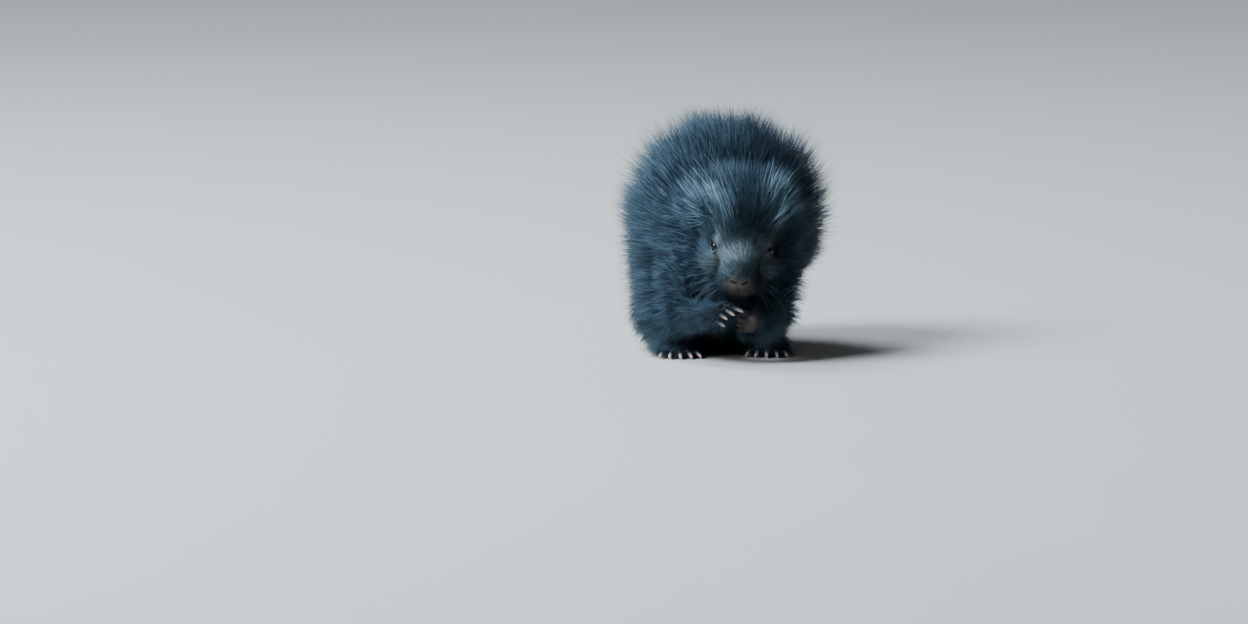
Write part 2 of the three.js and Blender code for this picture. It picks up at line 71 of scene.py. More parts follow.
CAD_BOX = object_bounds()
MM = 0.001  # the forms of the body are worked out in millimetres and made in metres
SIDES = {"right": -1, "left": 1}


# Settings


class PORCUPINE_PG_body(bpy.types.PropertyGroup):
    """Sizes and turns of the body"""

    coat_height: FloatProperty(
        name="Coat height", description="Floor to the hair tips over the back", default=0.250, unit="LENGTH"
    )
    coat_width: FloatProperty(
        name="Coat width", description="Flank to flank over the hair tips", default=0.218, unit="LENGTH"
    )
    trunk_length: FloatProperty(
        name="Trunk length", description="Front to back under the hair", default=0.164, unit="LENGTH"
    )
    body_turn: FloatProperty(
        name="Body turn", description="Turn of the trunk about the upright", default=math.radians(11),
        subtype="ANGLE",
    )
    head_drop: FloatProperty(
        name="Head drop", description="Muzzle below the level", default=math.radians(40), subtype="ANGLE"
    )
    head_roll: FloatProperty(
        name="Head roll", description="Left side lower", default=math.radians(5), subtype="ANGLE"
    )
    skin_grid: FloatProperty(
        name="Skin grid", description="Size of the skin's faces on the body", default=0.0020, unit="LENGTH"
    )


class PORCUPINE_PG_coat(bpy.types.PropertyGroup):
    """Depths of the coat and how many strands it has"""

    back_depth: FloatProperty(
        name="Back depth", description="Coat depth over the back", default=0.042, unit="LENGTH"
    )
    flank_depth: FloatProperty(
        name="Flank depth", description="Coat depth on the flanks", default=0.034, unit="LENGTH"
    )
    left_rise: FloatProperty(
        name="Left rise", description="Extra depth high on the animal's left", default=0.008, unit="LENGTH"
    )
    crown_depth: FloatProperty(
        name="Crown depth", description="Coat depth on top of the head", default=0.027, unit="LENGTH"
    )
    neck_depth: FloatProperty(
        name="Neck depth", description="Coat depth on the neck", default=0.030, unit="LENGTH"
    )
    face_depth: FloatProperty(
        name="Face depth", description="Depth of the short hair on the face", default=0.0024, unit="LENGTH"
    )
    paw_depth: FloatProperty(
        name="Paw depth", description="Hair on the backs of the paws", default=0.0034, unit="LENGTH"
    )
    top_strands: IntProperty(name="Top coat", description="Long strands of the body's coat", default=40000)
    under_strands: IntProperty(name="Under coat", description="Short strands among them", default=70000)
    short_strands: IntProperty(name="Short hair", description="On face, ears and paws", default=60000)
    guard_strands: IntProperty(name="Guard hairs", description="Long single dark hairs", default=4600)
    pale_strands: IntProperty(name="Pale hairs", description="Long single pale hairs", default=300)
    whiskers: IntProperty(name="Whiskers", description="Whiskers on each side", default=16)


class PORCUPINE_PG_colours(bpy.types.PropertyGroup):
    """Colours of hair, skin, claws and floor"""

    hair_root: FloatVectorProperty(
        name="Hair root", description="At the skin", default=(0.004, 0.005, 0.007), subtype="COLOR"
    )
    hair_middle: FloatVectorProperty(
        name="Hair middle", description="Half way up", default=(0.013, 0.023, 0.034), subtype="COLOR"
    )
    # Blue-grey of the tips: partly the hair's own colour, partly painted blue sheen
    hair_tip_and_sheen: FloatVectorProperty(
        name="Hair tip", description="At the tips", default=(0.068, 0.116, 0.166), subtype="COLOR"
    )
    hair_pale: FloatVectorProperty(
        name="Pale hair", description="Long pale hairs", default=(0.38, 0.56, 0.68), subtype="COLOR"
    )
    grizzle: FloatVectorProperty(
        name="Grizzle", description="Bridge of the nose", default=(0.26, 0.31, 0.32), subtype="COLOR"
    )
    muzzle: FloatVectorProperty(
        name="Muzzle", description="Nose and lips", default=(0.095, 0.072, 0.062), subtype="COLOR"
    )
    palm: FloatVectorProperty(
        name="Palm", description="Bare palm and pads", default=(0.040, 0.021, 0.017), subtype="COLOR"
    )
    claw_base: FloatVectorProperty(
        name="Claw base", description="Horn at the digit", default=(0.050, 0.072, 0.090), subtype="COLOR"
    )
    claw_tip: FloatVectorProperty(
        name="Claw tip", description="Horn at the point", default=(0.60, 0.44, 0.39), subtype="COLOR"
    )
    floor: FloatVectorProperty(
        name="Floor", description="Pale studio floor", default=(0.72, 0.69, 0.65), subtype="COLOR"
    )


# Small sums on arrays of points


def mix(start, end, share):
    return start + (end - start) * share


def ease(value, low, high):
    share = np.clip((value - low) / (high - low), 0, 1)
    return share * share * (3 - 2 * share)


def unit(vectors):
    return vectors / np.maximum(np.linalg.norm(vectors, axis=-1, keepdims=True), 1e-9)


def dot(one, other):
    return np.sum(one * other, axis=-1)


def placed(matrix, points):
    return points @ np.array(matrix.to_3x3()).T + np.array(matrix.translation)


def ripple(points, length, seed):
    """Smooth noise from about -1 to 1: a few sine waves that run in random directions."""
    rng = np.random.default_rng(seed)
    total = np.zeros(len(points))
    for _ in range(6):
        way = unit(rng.normal(size=3)) * rng.uniform(0.6, 1.6) * 2 * math.pi / length
        total += np.sin(points @ way + rng.uniform(0, 2 * math.pi))
    return total / 3.5


# Forms of flesh: each knows its distance field and can add its own rough mesh


class Ball:
    def __init__(self, place, centre, radii, tilt=0.0):
        self.matrix = place @ Matrix.Translation(centre) @ Matrix.Rotation(tilt, 4, "X")
        self.inverse = self.matrix.inverted()
        self.radii = np.array(radii, dtype=float)

    def distance(self, points):
        local = placed(self.inverse, points) / self.radii
        share = np.linalg.norm(local, axis=1)
        slope = np.linalg.norm(local / self.radii, axis=1)
        return share * (share - 1) / np.maximum(slope, 1e-9)

    def add_to(self, mesh):
        size = Matrix.Diagonal((*self.radii, 1))
        bmesh.ops.create_icosphere(mesh, subdivisions=4, radius=1, matrix=self.matrix @ size)


class Limb:
    def __init__(self, start, end, start_radius, end_radius):
        self.start, self.end = Vector(start), Vector(end)
        self.radii = (start_radius, end_radius)

    def distance(self, points):
        start = np.array(self.start)
        way = np.array(self.end) - start
        along = np.clip((points - start) @ way / max(way @ way, 1e-9), 0, 1)
        nearest = start + along[:, None] * way
        return np.linalg.norm(points - nearest, axis=1) - mix(*self.radii, along)

    def add_to(self, mesh):
        way = self.end - self.start
        for place, radius in zip((self.start, self.end), self.radii):
            matrix = Matrix.Translation(place)
            bmesh.ops.create_icosphere(mesh, subdivisions=3, radius=radius, matrix=matrix)
        if way.length > 1e-6:
            turn = way.to_track_quat("Z", "Y").to_matrix().to_4x4()
            matrix = Matrix.Translation((self.start + self.end) / 2) @ turn
            bmesh.ops.create_cone(
                mesh, cap_ends=True, segments=24, radius1=self.radii[0], radius2=self.radii[1],
                depth=way.length, matrix=matrix,
            )


class Blend:
    """Forms run together, with their creases filled."""

    def __init__(self, softness, *forms):
        self.softness = softness
        self.forms = forms

    def distance(self, points):
        nearest = self.forms[0].distance(points)
        for form in self.forms[1:]:
            nearest = soft_least(nearest, form.distance(points), self.softness)
        return nearest

    def add_to(self, mesh):
        for form in self.forms:
            form.add_to(mesh)


def soft_least(one, other, softness):
    overlap = np.maximum(softness - np.abs(one - other), 0) / softness
    return np.minimum(one, other) - overlap * overlap * softness / 4


def soft_most(one, other, softness):
    return -soft_least(-one, -other, softness)


def slope_of(distance, points, step=0.05):
    """The way in which a field grows fastest at each point."""
    ways = np.array([[1, -1, -1], [-1, -1, 1], [-1, 1, -1], [1, 1, 1]], dtype=float)
    total = sum(way * distance(points + way * step)[:, None] for way in ways)
    return total / (4 * step)


# The animal: frames, flesh and coat depths, in millimetres. It faces -Y, so its right side is at -X

EYE_RADIUS = 5.2
EYE_FLATNESS = 2.1  # 2 is a ball, more is flatter in front
EYE_SWELL = 1.07  # the eyeball is this much larger, to meet the lids
EYE_PLACE = (26.0, -2.5, 0.0)  # the left eye and ear, in the head's frame
EAR_PLACE = (37.0, 31.0, 17.0)
EYE_MIDDLE = (17.5, -105.0, 118.5)  # midway between the eyes, from the body's own origin
EAR_SIZE = (7.0, 3.0, 8.0)
EYE_WAY = (0.74, -0.42, 0.52)
EYE_OPENING = (4.95, 5.05)  # half the width and height between the lids
LID_THICKNESS = 0.9
LID_RISE = 0.5  # height of the rim of the lids
SOCKET_DEPTH = 6.0
NOSTRIL_PLACE = (5.7, -44.5, -6.0)
NOSTRIL_TILT = 0.42
NOSTRIL_SIZE = (4.8, 1.1)  # half the length and height of a slit
NOSTRIL_DEPTH = 3.6
NOSTRIL_RIM = 0.15
CLEFT_DEPTH = 1.2
MOUTH_DEPTH = 2.2
LIP_SWELL = 0.5
NOSE_FRONT = (0, -45, -9)
WHISKER_PAD = (0, -48, -9)  # where the hair streams from

# Middle and half sizes of each rounded form: the trunk's after its main one, then the skull's
TRUNK_HALF_HEIGHT = 87
TRUNK_FORMS = {
    "chest": ((2, -30, 106), (57, 42, 62)),
    "rump": ((-4, 60, 60), (58, 52, 60)),
    "belly": ((-6, 4, 58), (53, 60, 46)),
}
SKULL_FORMS = {
    "braincase": ((0, 24, -2), (30, 34, 28)),
    "bridge": ((0, -10, 2), (19, 28, 15)),
    "right_brow": ((-16, 0, -3), (12, 17, 13)),
    "left_brow": ((16, 0, -3), (12, 17, 13)),
    "muzzle": ((0, -28, -16), (19.5, 15, 18.5)),
    "nose": ((0, -39, -7.5), (11.5, 6, 8)),
    "right_cheek": ((-19, 7, -17), (14, 22, 17)),
    "left_cheek": ((19, 7, -17), (14, 22, 17)),
    "chin": ((0, -14, -31), (13, 18, 10)),
}
NECK = ((14, -56, 137), (42, 30, 43))
TAIL = ((0, 92, 23), (-8, 166, 10), 17, 7)  # root, tip and their radii
TAIL_DEPTH = 20  # depth of the coat
ARM_DEPTH = 17
LEG_DEPTH = 22

# A digit has its knuckle, its tip and the way of its claw. The claws bend one way, and the bare
# palm faces inside

FOREPAWS = {
    "right": {
        "wrist": (-21, -103, 47),
        "palm": (-10, -114, 50),
        "digits": [
            ((-6, -117, 57), (5, -125, 61), (0.8, -0.3, -0.25)),
            ((-9.5, -119, 56), (0.2, -128, 58), (0.6, -0.68, -0.24)),
            ((-14, -120, 53), (-6.5, -128, 54.2), (0.55, -0.7, -0.26)),
            ((-17, -119, 48), (-10.1, -126, 47.4), (0.62, -0.62, -0.33)),
        ],
        "bend": (0.05, 0.4, -0.12),
        "claw": 15.5,
        "inside": (0.62, 0.1, -0.78),
    },
    "left": {
        "wrist": (40, -100, 42),
        "palm": (30, -109, 41),
        "digits": [
            ((24, -111, 49), (17, -113, 54), (-0.5, 0.85, -0.05)),
            ((22, -112, 44), (14.5, -114, 47.5), (-0.45, 0.85, 0.1)),
            ((22, -111, 39), (14.5, -112.5, 41), (-0.45, 0.85, 0)),
            ((23, -109, 34.5), (16, -109.5, 35), (-0.5, 0.8, -0.1)),
        ],
        "bend": (0.3, 0.1, 0.05),
        "claw": 10,
        "inside": (-0.72, -0.62, 0.3),
    },
}
FORE_DIGIT = 3.3  # radius of a digit
HIND_DIGIT = 3.9
HIND_TOES = 5
HIND_FEET = {
    "right": {"heel": (-56, -2, 10), "ball": (-47, -52, 9), "out": 0.16},
    "left": {"heel": (38, 10, 10), "ball": (45, -42, 9), "out": -0.08},
}
HIPS = {"right": (-56, 6, 51), "left": (35, 6, 51)}
ARMS = {
    "right": {"shoulder": (-42, -50, 90), "elbow": (-42, -72, 48)},
    "left": {"shoulder": (56, -42, 90), "elbow": (51, -64, 48)},
}


def even_depth(depth):
    return lambda points: np.full(len(points), float(depth))


class Animal:
    def __init__(self, scene):
        body, coat = scene.porcupine_body, scene.porcupine_coat
        self.coat = coat
        head_turn = Matrix.Rotation(body.head_roll, 4, "Y") @ Matrix.Rotation(body.head_drop, 4, "X")
        eyes = sum(((lo + hi) / 2 for lo, hi in map(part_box, ("eye_right", "eye_left"))), Vector()) / 2 / MM
        eye_middle = eyes - head_turn @ Vector((0, EYE_PLACE[1], EYE_PLACE[2]))
        self.room = Matrix.Translation(eye_middle - Vector(EYE_MIDDLE))
        self.body = self.room @ Matrix.Rotation(body.body_turn, 4, "Z")
        self.head = Matrix.Translation(eye_middle) @ head_turn
        self.from_body = self.body.inverted()
        self.from_head = self.head.inverted()
        self.muzzle = np.array(self.head @ Vector(WHISKER_PAD))
        width, height, length = body.coat_width / MM, body.coat_height / MM, body.trunk_length / MM
        half_width = width / 2 - coat.flank_depth / MM
        self.trunk_middle = Vector((5, 24, height - coat.back_depth / MM - TRUNK_HALF_HEIGHT))
        main_form = Ball(self.body, self.trunk_middle, (half_width, length / 2, TRUNK_HALF_HEIGHT))
        self.trunk = Blend(22, main_form, *(Ball(self.body, *form) for form in TRUNK_FORMS.values()))
        self.neck = Ball(self.room, *NECK, body.head_drop)
        root, tip, *radii = TAIL
        self.tail = Limb(self.body @ Vector(root), self.body @ Vector(tip), *radii)
        self.skull = Blend(9, *(Ball(self.head, *form) for form in SKULL_FORMS.values()))
        self.arms = {side: self.arm(side) for side in SIDES}
        self.legs = {side: self.leg(side) for side in SIDES}
        self.forepaws = {side: self.forepaw(side) for side in SIDES}
        self.hind_feet = {side: self.hind_foot(side) for side in SIDES}
        self.ears = {side: Ball(self.ear_frame(side), (0, 0, 0), EAR_SIZE) for side in SIDES}
        self.hair_parts = {
            "torso": (self.trunk, self.trunk_depth),
            "neck": (self.neck, self.neck_depth),
            "head": (self.skull, self.head_depth),
            "tail": (self.tail, even_depth(TAIL_DEPTH)),
        }
        for side in SIDES:
            self.hair_parts[f"foreleg_{side}"] = (self.arms[side], even_depth(ARM_DEPTH))
            self.hair_parts[f"hind_leg_{side}"] = (self.legs[side], even_depth(LEG_DEPTH))
            for part, forms in (("forepaw", self.forepaws), ("hind_foot", self.hind_feet)):
                self.hair_parts[f"{part}_{side}"] = (forms[side], even_depth(coat.paw_depth / MM))

    def at(self, place):
        return self.room @ Vector(place)

    def on_head(self, side, place):
        return self.head @ Vector((side * place[0], place[1], place[2]))

    def arm(self, name):
        wrist = self.at(FOREPAWS[name]["wrist"])
        shoulder, elbow = self.at(ARMS[name]["shoulder"]), self.at(ARMS[name]["elbow"])
        return Blend(8, Limb(shoulder, elbow, 15, 10), Limb(elbow, wrist, 10, 7))

    def leg(self, name):
        thigh = Vector(HIPS[name])
        knee = self.body @ Vector((thigh.x, thigh.y, 0)) + Vector((0, -34, 30))
        heel = self.at(HIND_FEET[name]["heel"])
        return Blend(12, Ball(self.body, thigh, (21, 42, 41)), Limb(knee, heel, 11, 8))

    def forepaw(self, name):
        paw = FOREPAWS[name]
        wrist, palm = self.at(paw["wrist"]), self.at(paw["palm"])
        digits = [Limb(self.at(knuckle), self.at(tip), FORE_DIGIT + 0.3, FORE_DIGIT - 0.3)
                  for knuckle, tip, _ in paw["digits"]]
        return Blend(2.2, Blend(6, Limb(wrist, palm, 7, 9), Limb(palm, palm, 9.5, 9.5)), *digits)

    def toes(self, name):
        foot = HIND_FEET[name]
        pad = self.at(foot["ball"])
        for i in range(HIND_TOES):
            spread = (i - (HIND_TOES - 1) / 2) / 2
            angle = foot["out"] * 0.6 + spread * 0.42
            way = Vector((math.sin(angle), -math.cos(angle), 0))
            knuckle = pad + Vector((spread * 10, 2 * abs(spread), -1))
            tip = knuckle + way * (19 - 3.5 * spread * spread)
            tip.z = 6
            yield knuckle, tip, Vector((way.x, way.y, -0.02))

    def hind_foot(self, name):
        heel, pad = self.at(HIND_FEET[name]["heel"]), self.at(HIND_FEET[name]["ball"])
        toes = [Limb(knuckle, tip, HIND_DIGIT + 0.3, HIND_DIGIT - 0.3)
                for knuckle, tip, _ in self.toes(name)]
        return Blend(3, Blend(8, Limb(heel, pad, 11, 11), Limb(pad, pad, 13, 13)), *toes)

    def ear_frame(self, name):
        side = SIDES[name]
        turn = (Matrix.Rotation(-0.35, 4, "X") @ Matrix.Rotation(side * 0.5, 4, "Y")
                @ Matrix.Rotation(side * 0.5, 4, "Z"))
        return self.head @ Matrix.Translation((side * EAR_PLACE[0], EAR_PLACE[1], EAR_PLACE[2])) @ turn

    def eye_frame(self, side):
        """Z looks out of the eye, X along the lids."""
        way = self.head.to_3x3() @ Vector((side * EYE_WAY[0], EYE_WAY[1], EYE_WAY[2]))
        across = way.cross(self.head.to_3x3() @ Vector((0, 0.5, 1))).normalized()
        out = way.normalized()
        turn = Matrix((across, out.cross(across), out)).transposed().to_4x4()
        return Matrix.Translation(self.on_head(side, EYE_PLACE)) @ turn

    # Coat depths, skin to hair tips

    def trunk_depth(self, points):
        way = unit(placed(self.from_body, points) - np.array(self.trunk_middle))
        left = ease(way[:, 0], 0.25, 0.7)
        above = mix(self.coat.flank_depth / MM, self.coat.back_depth / MM, ease(way[:, 2], 0, 0.8))
        high = ease(way[:, 2], -0.2, 0.15) * (1 - ease(way[:, 2], 0.6, 0.9))
        above += self.coat.left_rise / MM * left * high
        front = mix(1, 0.55, ease(-way[:, 1], 0.55, 0.95))
        return mix(above * front, 5, ease(-way[:, 2], 0.45 - 0.25 * left, 0.85 - 0.1 * left))

    def head_depth(self, points):
        local = placed(self.from_head, points)
        folded = local.copy()
        folded[:, 0] = np.abs(folded[:, 0])
        cheek = 10 * ease(folded[:, 0], 12, 26)
        eye_room = np.linalg.norm(folded - EYE_PLACE, axis=1)
        ear_room = np.linalg.norm(folded - EAR_PLACE, axis=1)
        back = ease(local[:, 1] + cheek, -18, 28) * ease(eye_room, 7, 22)
        top = ease(local[:, 2], -18, 14)
        nose_room = np.linalg.norm((local - NOSE_FRONT) / (1.2, 1, 1.3), axis=1)
        short = mix(0.25, 1, ease(eye_room, 6, 14)) * mix(0.55, 1, ease(nose_room, 6, 14))
        full = mix(self.coat.face_depth / MM * short, mix(15, self.coat.crown_depth / MM, top), back)
        return full * mix(0.6, 1, ease(ear_room, 8, 18))

    def neck_depth(self, points):
        back = ease(placed(self.from_head, points)[:, 1], 14, 46)
        return self.coat.neck_depth / MM * back

    def depth(self, points):
        """The coat's depth where the parts run together is between those of the parts."""
        gaps = np.array([form.distance(points) for form, _ in self.hair_parts.values()])
        weights = np.exp(-(gaps - gaps.min(axis=0)) / 5)
        depths = np.array([depth(points) for _, depth in self.hair_parts.values()])
        return (weights * depths).sum(axis=0) / weights.sum(axis=0)

    def nearest_part(self, points):
        gaps = np.array([form.distance(points) for form, _ in self.hair_parts.values()])
        return gaps.argmin(axis=0)

    def flesh(self, points):
        """The skin's whole field. Each small form has a middle, the reach within which it counts and
        the softness with which it runs into the rest."""
        whole = soft_least(self.trunk.distance(points), self.neck.distance(points), 14)
        whole = soft_least(whole, self.skull.distance(points), 10)
        whole = soft_least(whole, self.tail.distance(points), 12)
        for name, side in SIDES.items():
            small_forms = (
                (self.arms[name].distance, self.at(ARMS[name]["elbow"]), 75, 8),
                (self.legs[name].distance, self.body @ Vector(HIPS[name]), 85, 12),
                (lambda near, name=name: self.ear_cup(name, near), self.on_head(side, EAR_PLACE), 22, 3),
                (lambda near, side=side: self.lid_ball(side, near), self.on_head(side, EYE_PLACE), 20, 3),
                (self.forepaws[name].distance, self.at(FOREPAWS[name]["palm"]), 48, 1.5),
                (self.hind_feet[name].distance, self.at(HIND_FEET[name]["ball"]), 75, 4),
            )
            for distance, middle, reach, softness in small_forms:
                near = np.linalg.norm(points - np.array(middle), axis=1) < reach
                if near.any():
                    whole[near] = soft_least(whole[near], distance(points[near]), softness)
        return soft_most(whole, -points[:, 2], 0.5)

    def lid_ball(self, side, points):
        middle = np.array(self.on_head(side, EYE_PLACE))
        return np.linalg.norm(points - middle, axis=1) - (EYE_RADIUS + LID_THICKNESS)

    def ear_cup(self, name, points):
        shell = self.ears[name].distance(points)
        width, thick, height = EAR_SIZE
        hollow = Ball(self.ear_frame(name), (0, -thick * 0.84, 1.5), (width - 2.2, thick, height - 2.6))
        return soft_most(shell, -hollow.distance(points), 1.0)

    def eye_ring(self, side, points):
        """1 on the edge of the lids, less inside, then how far below the middle of the eye a point
        is, and its height along the way that the eye looks."""
        eye = placed(self.eye_frame(side).inverted(), points)
        return np.hypot(eye[:, 0] / EYE_OPENING[0], eye[:, 1] / EYE_OPENING[1]), eye[:, 1], eye[:, 2]

    def nostril_ring(self, side, points):
        """1 on the edge of a nostril's slit. The slits stand in a V, their outer ends higher."""
        local = placed(self.from_head, points) - np.array(NOSTRIL_PLACE) * (side, 1, 1)
        across = side * local[:, 0]
        up = 0.6 * local[:, 1] + 0.8 * local[:, 2]
        lengthways = across * math.cos(NOSTRIL_TILT) + up * math.sin(NOSTRIL_TILT)
        height = up * math.cos(NOSTRIL_TILT) - across * math.sin(NOSTRIL_TILT)
        height = height - 0.04 * lengthways ** 2
        ring = np.hypot(lengthways / NOSTRIL_SIZE[0], height / NOSTRIL_SIZE[1])
        return ring + np.maximum(local[:, 1] - 7, 0)

    def carved(self, points):
        """Points of the face moved in or out: nostrils, cleft of the lip, mouth and eye sockets."""
        near = np.flatnonzero(np.linalg.norm(points - np.array(self.on_head(0, (0, -20, -6))), axis=1) < 48)
        place = points[near]
        slope = unit(slope_of(self.flesh, place))
        local = placed(self.from_head, place)
        move = np.zeros(len(near))
        for side in SIDES.values():
            ring = self.nostril_ring(side, place)
            move -= NOSTRIL_DEPTH * (1 - ease(ring, 0.45, 1.1))
            move += NOSTRIL_RIM * np.exp(-(((ring - 1.5) / 0.35) ** 2))
        cleft = np.abs(local[:, 0]) + 3 * np.maximum(np.abs(local[:, 2] + 20) - 7, 0)
        move -= CLEFT_DEPTH * (local[:, 1] < -34) * (1 - ease(cleft, 0.2, 1.5))
        mouth = self.mouth_room(local)
        move -= MOUTH_DEPTH * (1 - ease(mouth, 0.3, 1.7))
        move += LIP_SWELL * np.exp(-(((mouth - 2.6) / 1.1) ** 2))
        place = place + slope * move[:, None]
        for side in SIDES.values():
            out = np.array(self.eye_frame(side).to_3x3())[:, 2]
            ring, _, height = self.eye_ring(side, place)
            outside = height > 0
            place = place - out * (outside * SOCKET_DEPTH * (1 - ease(ring, 0.80, 0.99)))[:, None]
            place = place + out * (outside * LID_RISE * np.exp(-(((ring - 1.12) / 0.10) ** 2)))[:, None]
        result = points.copy()
        result[near] = place
        return result

    def mouth_room(self, local):
        """Distance to the line of the mouth, a bow round the muzzle, in the head's frame."""
        side = np.clip(local[:, 0], -18, 18)
        share = (side / 18) ** 2
        line = np.stack([side, -40.5 + 8 * share + 12 * share ** 3, -28 + share], axis=1)
        return np.linalg.norm(local - line, axis=1)

    def bare_paw(self, points, normals):
        """1 on the bare palms and soles."""
        bare = np.zeros(len(points))
        for name in SIDES:
            skin = 1 - ease(self.forepaws[name].distance(points), 0.3, 2.0)
            inside = ease(dot(normals, unit(np.array(FOREPAWS[name]["inside"]))), 0.2, 0.7)
            bare = np.maximum(bare, skin * inside)
            sole = 1 - ease(self.hind_feet[name].distance(points), 0.3, 2.0)
            bare = np.maximum(bare, sole * ease(-normals[:, 2], 0.2, 0.7))
        return bare

    def dark_brow(self, points):
        """1 between the eyes, where a dark wedge of hair starts."""
        local = placed(self.from_head, points)
        return np.exp(-((local[:, 0] / 12) ** 2) - ((local[:, 1] - 4) / 16) ** 2)

    def markings(self, points):
        """Grey of the bridge, brown of the muzzle and bare pads, each from 0 to 1."""
        local = placed(self.from_head, points)
        bridge = np.exp(-((local[:, 0] / 13) ** 2) - ((local[:, 1] + 25) / 11) ** 2)
        grizzle = bridge * ease(local[:, 2], -24, -8)
        cheek = np.exp(-(((np.abs(local[:, 0]) - 19) / 10) ** 2) - ((local[:, 1] + 14) / 14) ** 2)
        grizzle = np.clip(grizzle + 0.4 * cheek, 0, 1)
        front = np.linalg.norm((local - (0, -44, -15)) / (15, 10, 16), axis=1)
        brown = 1 - ease(front, 0.5, 1.2)
        return grizzle, brown


# Meshes, objects and materials


def new_object(name, mesh, replaces=()):
    piece = bpy.data.objects.new(name, mesh)
    bpy.context.scene.collection.objects.link(piece)
    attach(piece, "root")
    if replaces:
        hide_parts(*replaces)
    return piece


def mesh_of(name, built, smooth=True):
    mesh = bpy.data.meshes.new(name)
    for face in built.faces:
        face.smooth = smooth
    built.to_mesh(mesh)
    built.free()
    return mesh


def points_of(mesh):
    flat = np.empty(len(mesh.vertices) * 3)
    mesh.vertices.foreach_get("co", flat)
    return flat.reshape(-1, 3) / MM


def set_points(mesh, points):
    mesh.vertices.foreach_set("co", (points * MM).ravel())
    mesh.update()


def set_fact(mesh, name, values):
    fact = mesh.attributes.new(name, "FLOAT", "POINT")
    fact.data.foreach_set("value", np.asarray(values, dtype=np.float32))


def settled(points, distance, steps, limit=2.0):
    """Points moved along a field's slope until they lie on its surface."""
    for _ in range(steps):
        slope = slope_of(distance, points)
        size = np.maximum(dot(slope, slope), 0.2)
        move = slope * (distance(points) / size)[:, None]
        length = np.linalg.norm(move, axis=1, keepdims=True)
        points = points - move * np.minimum(1, limit / np.maximum(length, 1e-9))
    return points


class Nodes:
    """A short way to write a node material."""

    def __init__(self, name):
        self.material = bpy.data.materials.new(name)
        self.material.use_nodes = True
        self.tree = self.material.node_tree
        self.shader = self.tree.nodes["Principled BSDF"]

    def add(self, kind, inputs=(), **settings):
        node = self.tree.nodes.new(kind)
        for name, value in settings.items():
            setattr(node, name, value)
        for socket, value in dict(inputs).items():
            self.set(node.inputs[socket], value)
        return node

    def set(self, socket, value):
        if isinstance(value, bpy.types.NodeSocket):
            self.tree.links.new(value, socket)
        elif hasattr(value, "__len__") and len(value) == 3 and socket.type == "RGBA":
            socket.default_value = (*value, 1)
        else:
            socket.default_value = value

    def fact(self, name):
        return self.add("ShaderNodeAttribute", attribute_name=name).outputs["Fac"]

    def math(self, operation, *values, clamp=False):
        node = self.add("ShaderNodeMath", operation=operation, use_clamp=clamp)
        for socket, value in zip(node.inputs, values):
            self.set(socket, value)
        return node.outputs[0]

    def blend(self, share, one, other, blend_type="MIX"):
        node = self.add("ShaderNodeMix", data_type="RGBA", blend_type=blend_type)
        self.set(node.inputs[0], share)
        self.set(node.inputs[6], one)
        self.set(node.inputs[7], other)
        return node.outputs[2]

    def spread(self, value, low, high, start=0.0, end=1.0):
        node = self.add("ShaderNodeMapRange", interpolation_type="SMOOTHSTEP")
        for socket, number in zip(node.inputs, (value, low, high, start, end)):
            self.set(socket, number)
        return node.outputs[0]

    def noise(self, scale, detail=3.0, vector=None):
        node = self.add("ShaderNodeTexNoise", {"Scale": scale, "Detail": detail})
        self.set(node.inputs["Vector"], vector or self.place())
        return node.outputs[0]

    def place(self):
        return self.add("ShaderNodeTexCoord").outputs["Object"]

    def bump(self, height, distance, strength=1.0):
        node = self.add("ShaderNodeBump", {"Strength": strength, "Distance": distance, "Height": height})
        return node.outputs[0]

    def finish(self, **sockets):
        for name, value in sockets.items():
            self.set(self.shader.inputs[name.replace("_", " ")], value)
        return self.material


def hair_material(name, colours, pale=0.0):
    nodes = Nodes(name)
    along, luck = nodes.fact("along"), nodes.fact("luck")
    grizzle, brown = nodes.fact("grizzle"), nodes.fact("brown")
    # Near black at the root to blue-grey at the tip; the blue-grey is partly the hair's own colour, partly
    # painted sheen
    low = nodes.blend(nodes.spread(along, 0.0, 0.55), colours.hair_root, colours.hair_middle)
    colour = nodes.blend(nodes.spread(along, 0.45, 1.0), low, colours.hair_tip_and_sheen)
    grey = nodes.blend(nodes.math("MULTIPLY", grizzle, nodes.spread(luck, 0.1, 0.9, 0.25, 1.0)),
                       colour, colours.grizzle)
    tinted = nodes.blend(brown, grey, colours.muzzle)
    light = nodes.spread(luck, 0.0, 1.0, 0.22, 1.65)
    shade = nodes.add("ShaderNodeCombineColor", {"Red": light, "Green": light, "Blue": light}).outputs[0]
    varied = nodes.blend(1.0, tinted, shade, "MULTIPLY")
    if pale:
        bright = nodes.math("MULTIPLY", nodes.spread(luck, 0.0, 1.0, 0.35, 1.0), pale)
        reach = nodes.math("MULTIPLY", nodes.spread(along, 0.1, 0.4), bright)
        varied = nodes.blend(reach, varied, colours.hair_pale)
    rough = nodes.spread(luck, 0.0, 0.35, 0.8, 0.45)
    return nodes.finish(Base_Color=varied, Roughness=rough, IOR=1.55, Specular_IOR_Level=0.5,
                        Specular_Tint=(0.52, 0.80, 1.0))


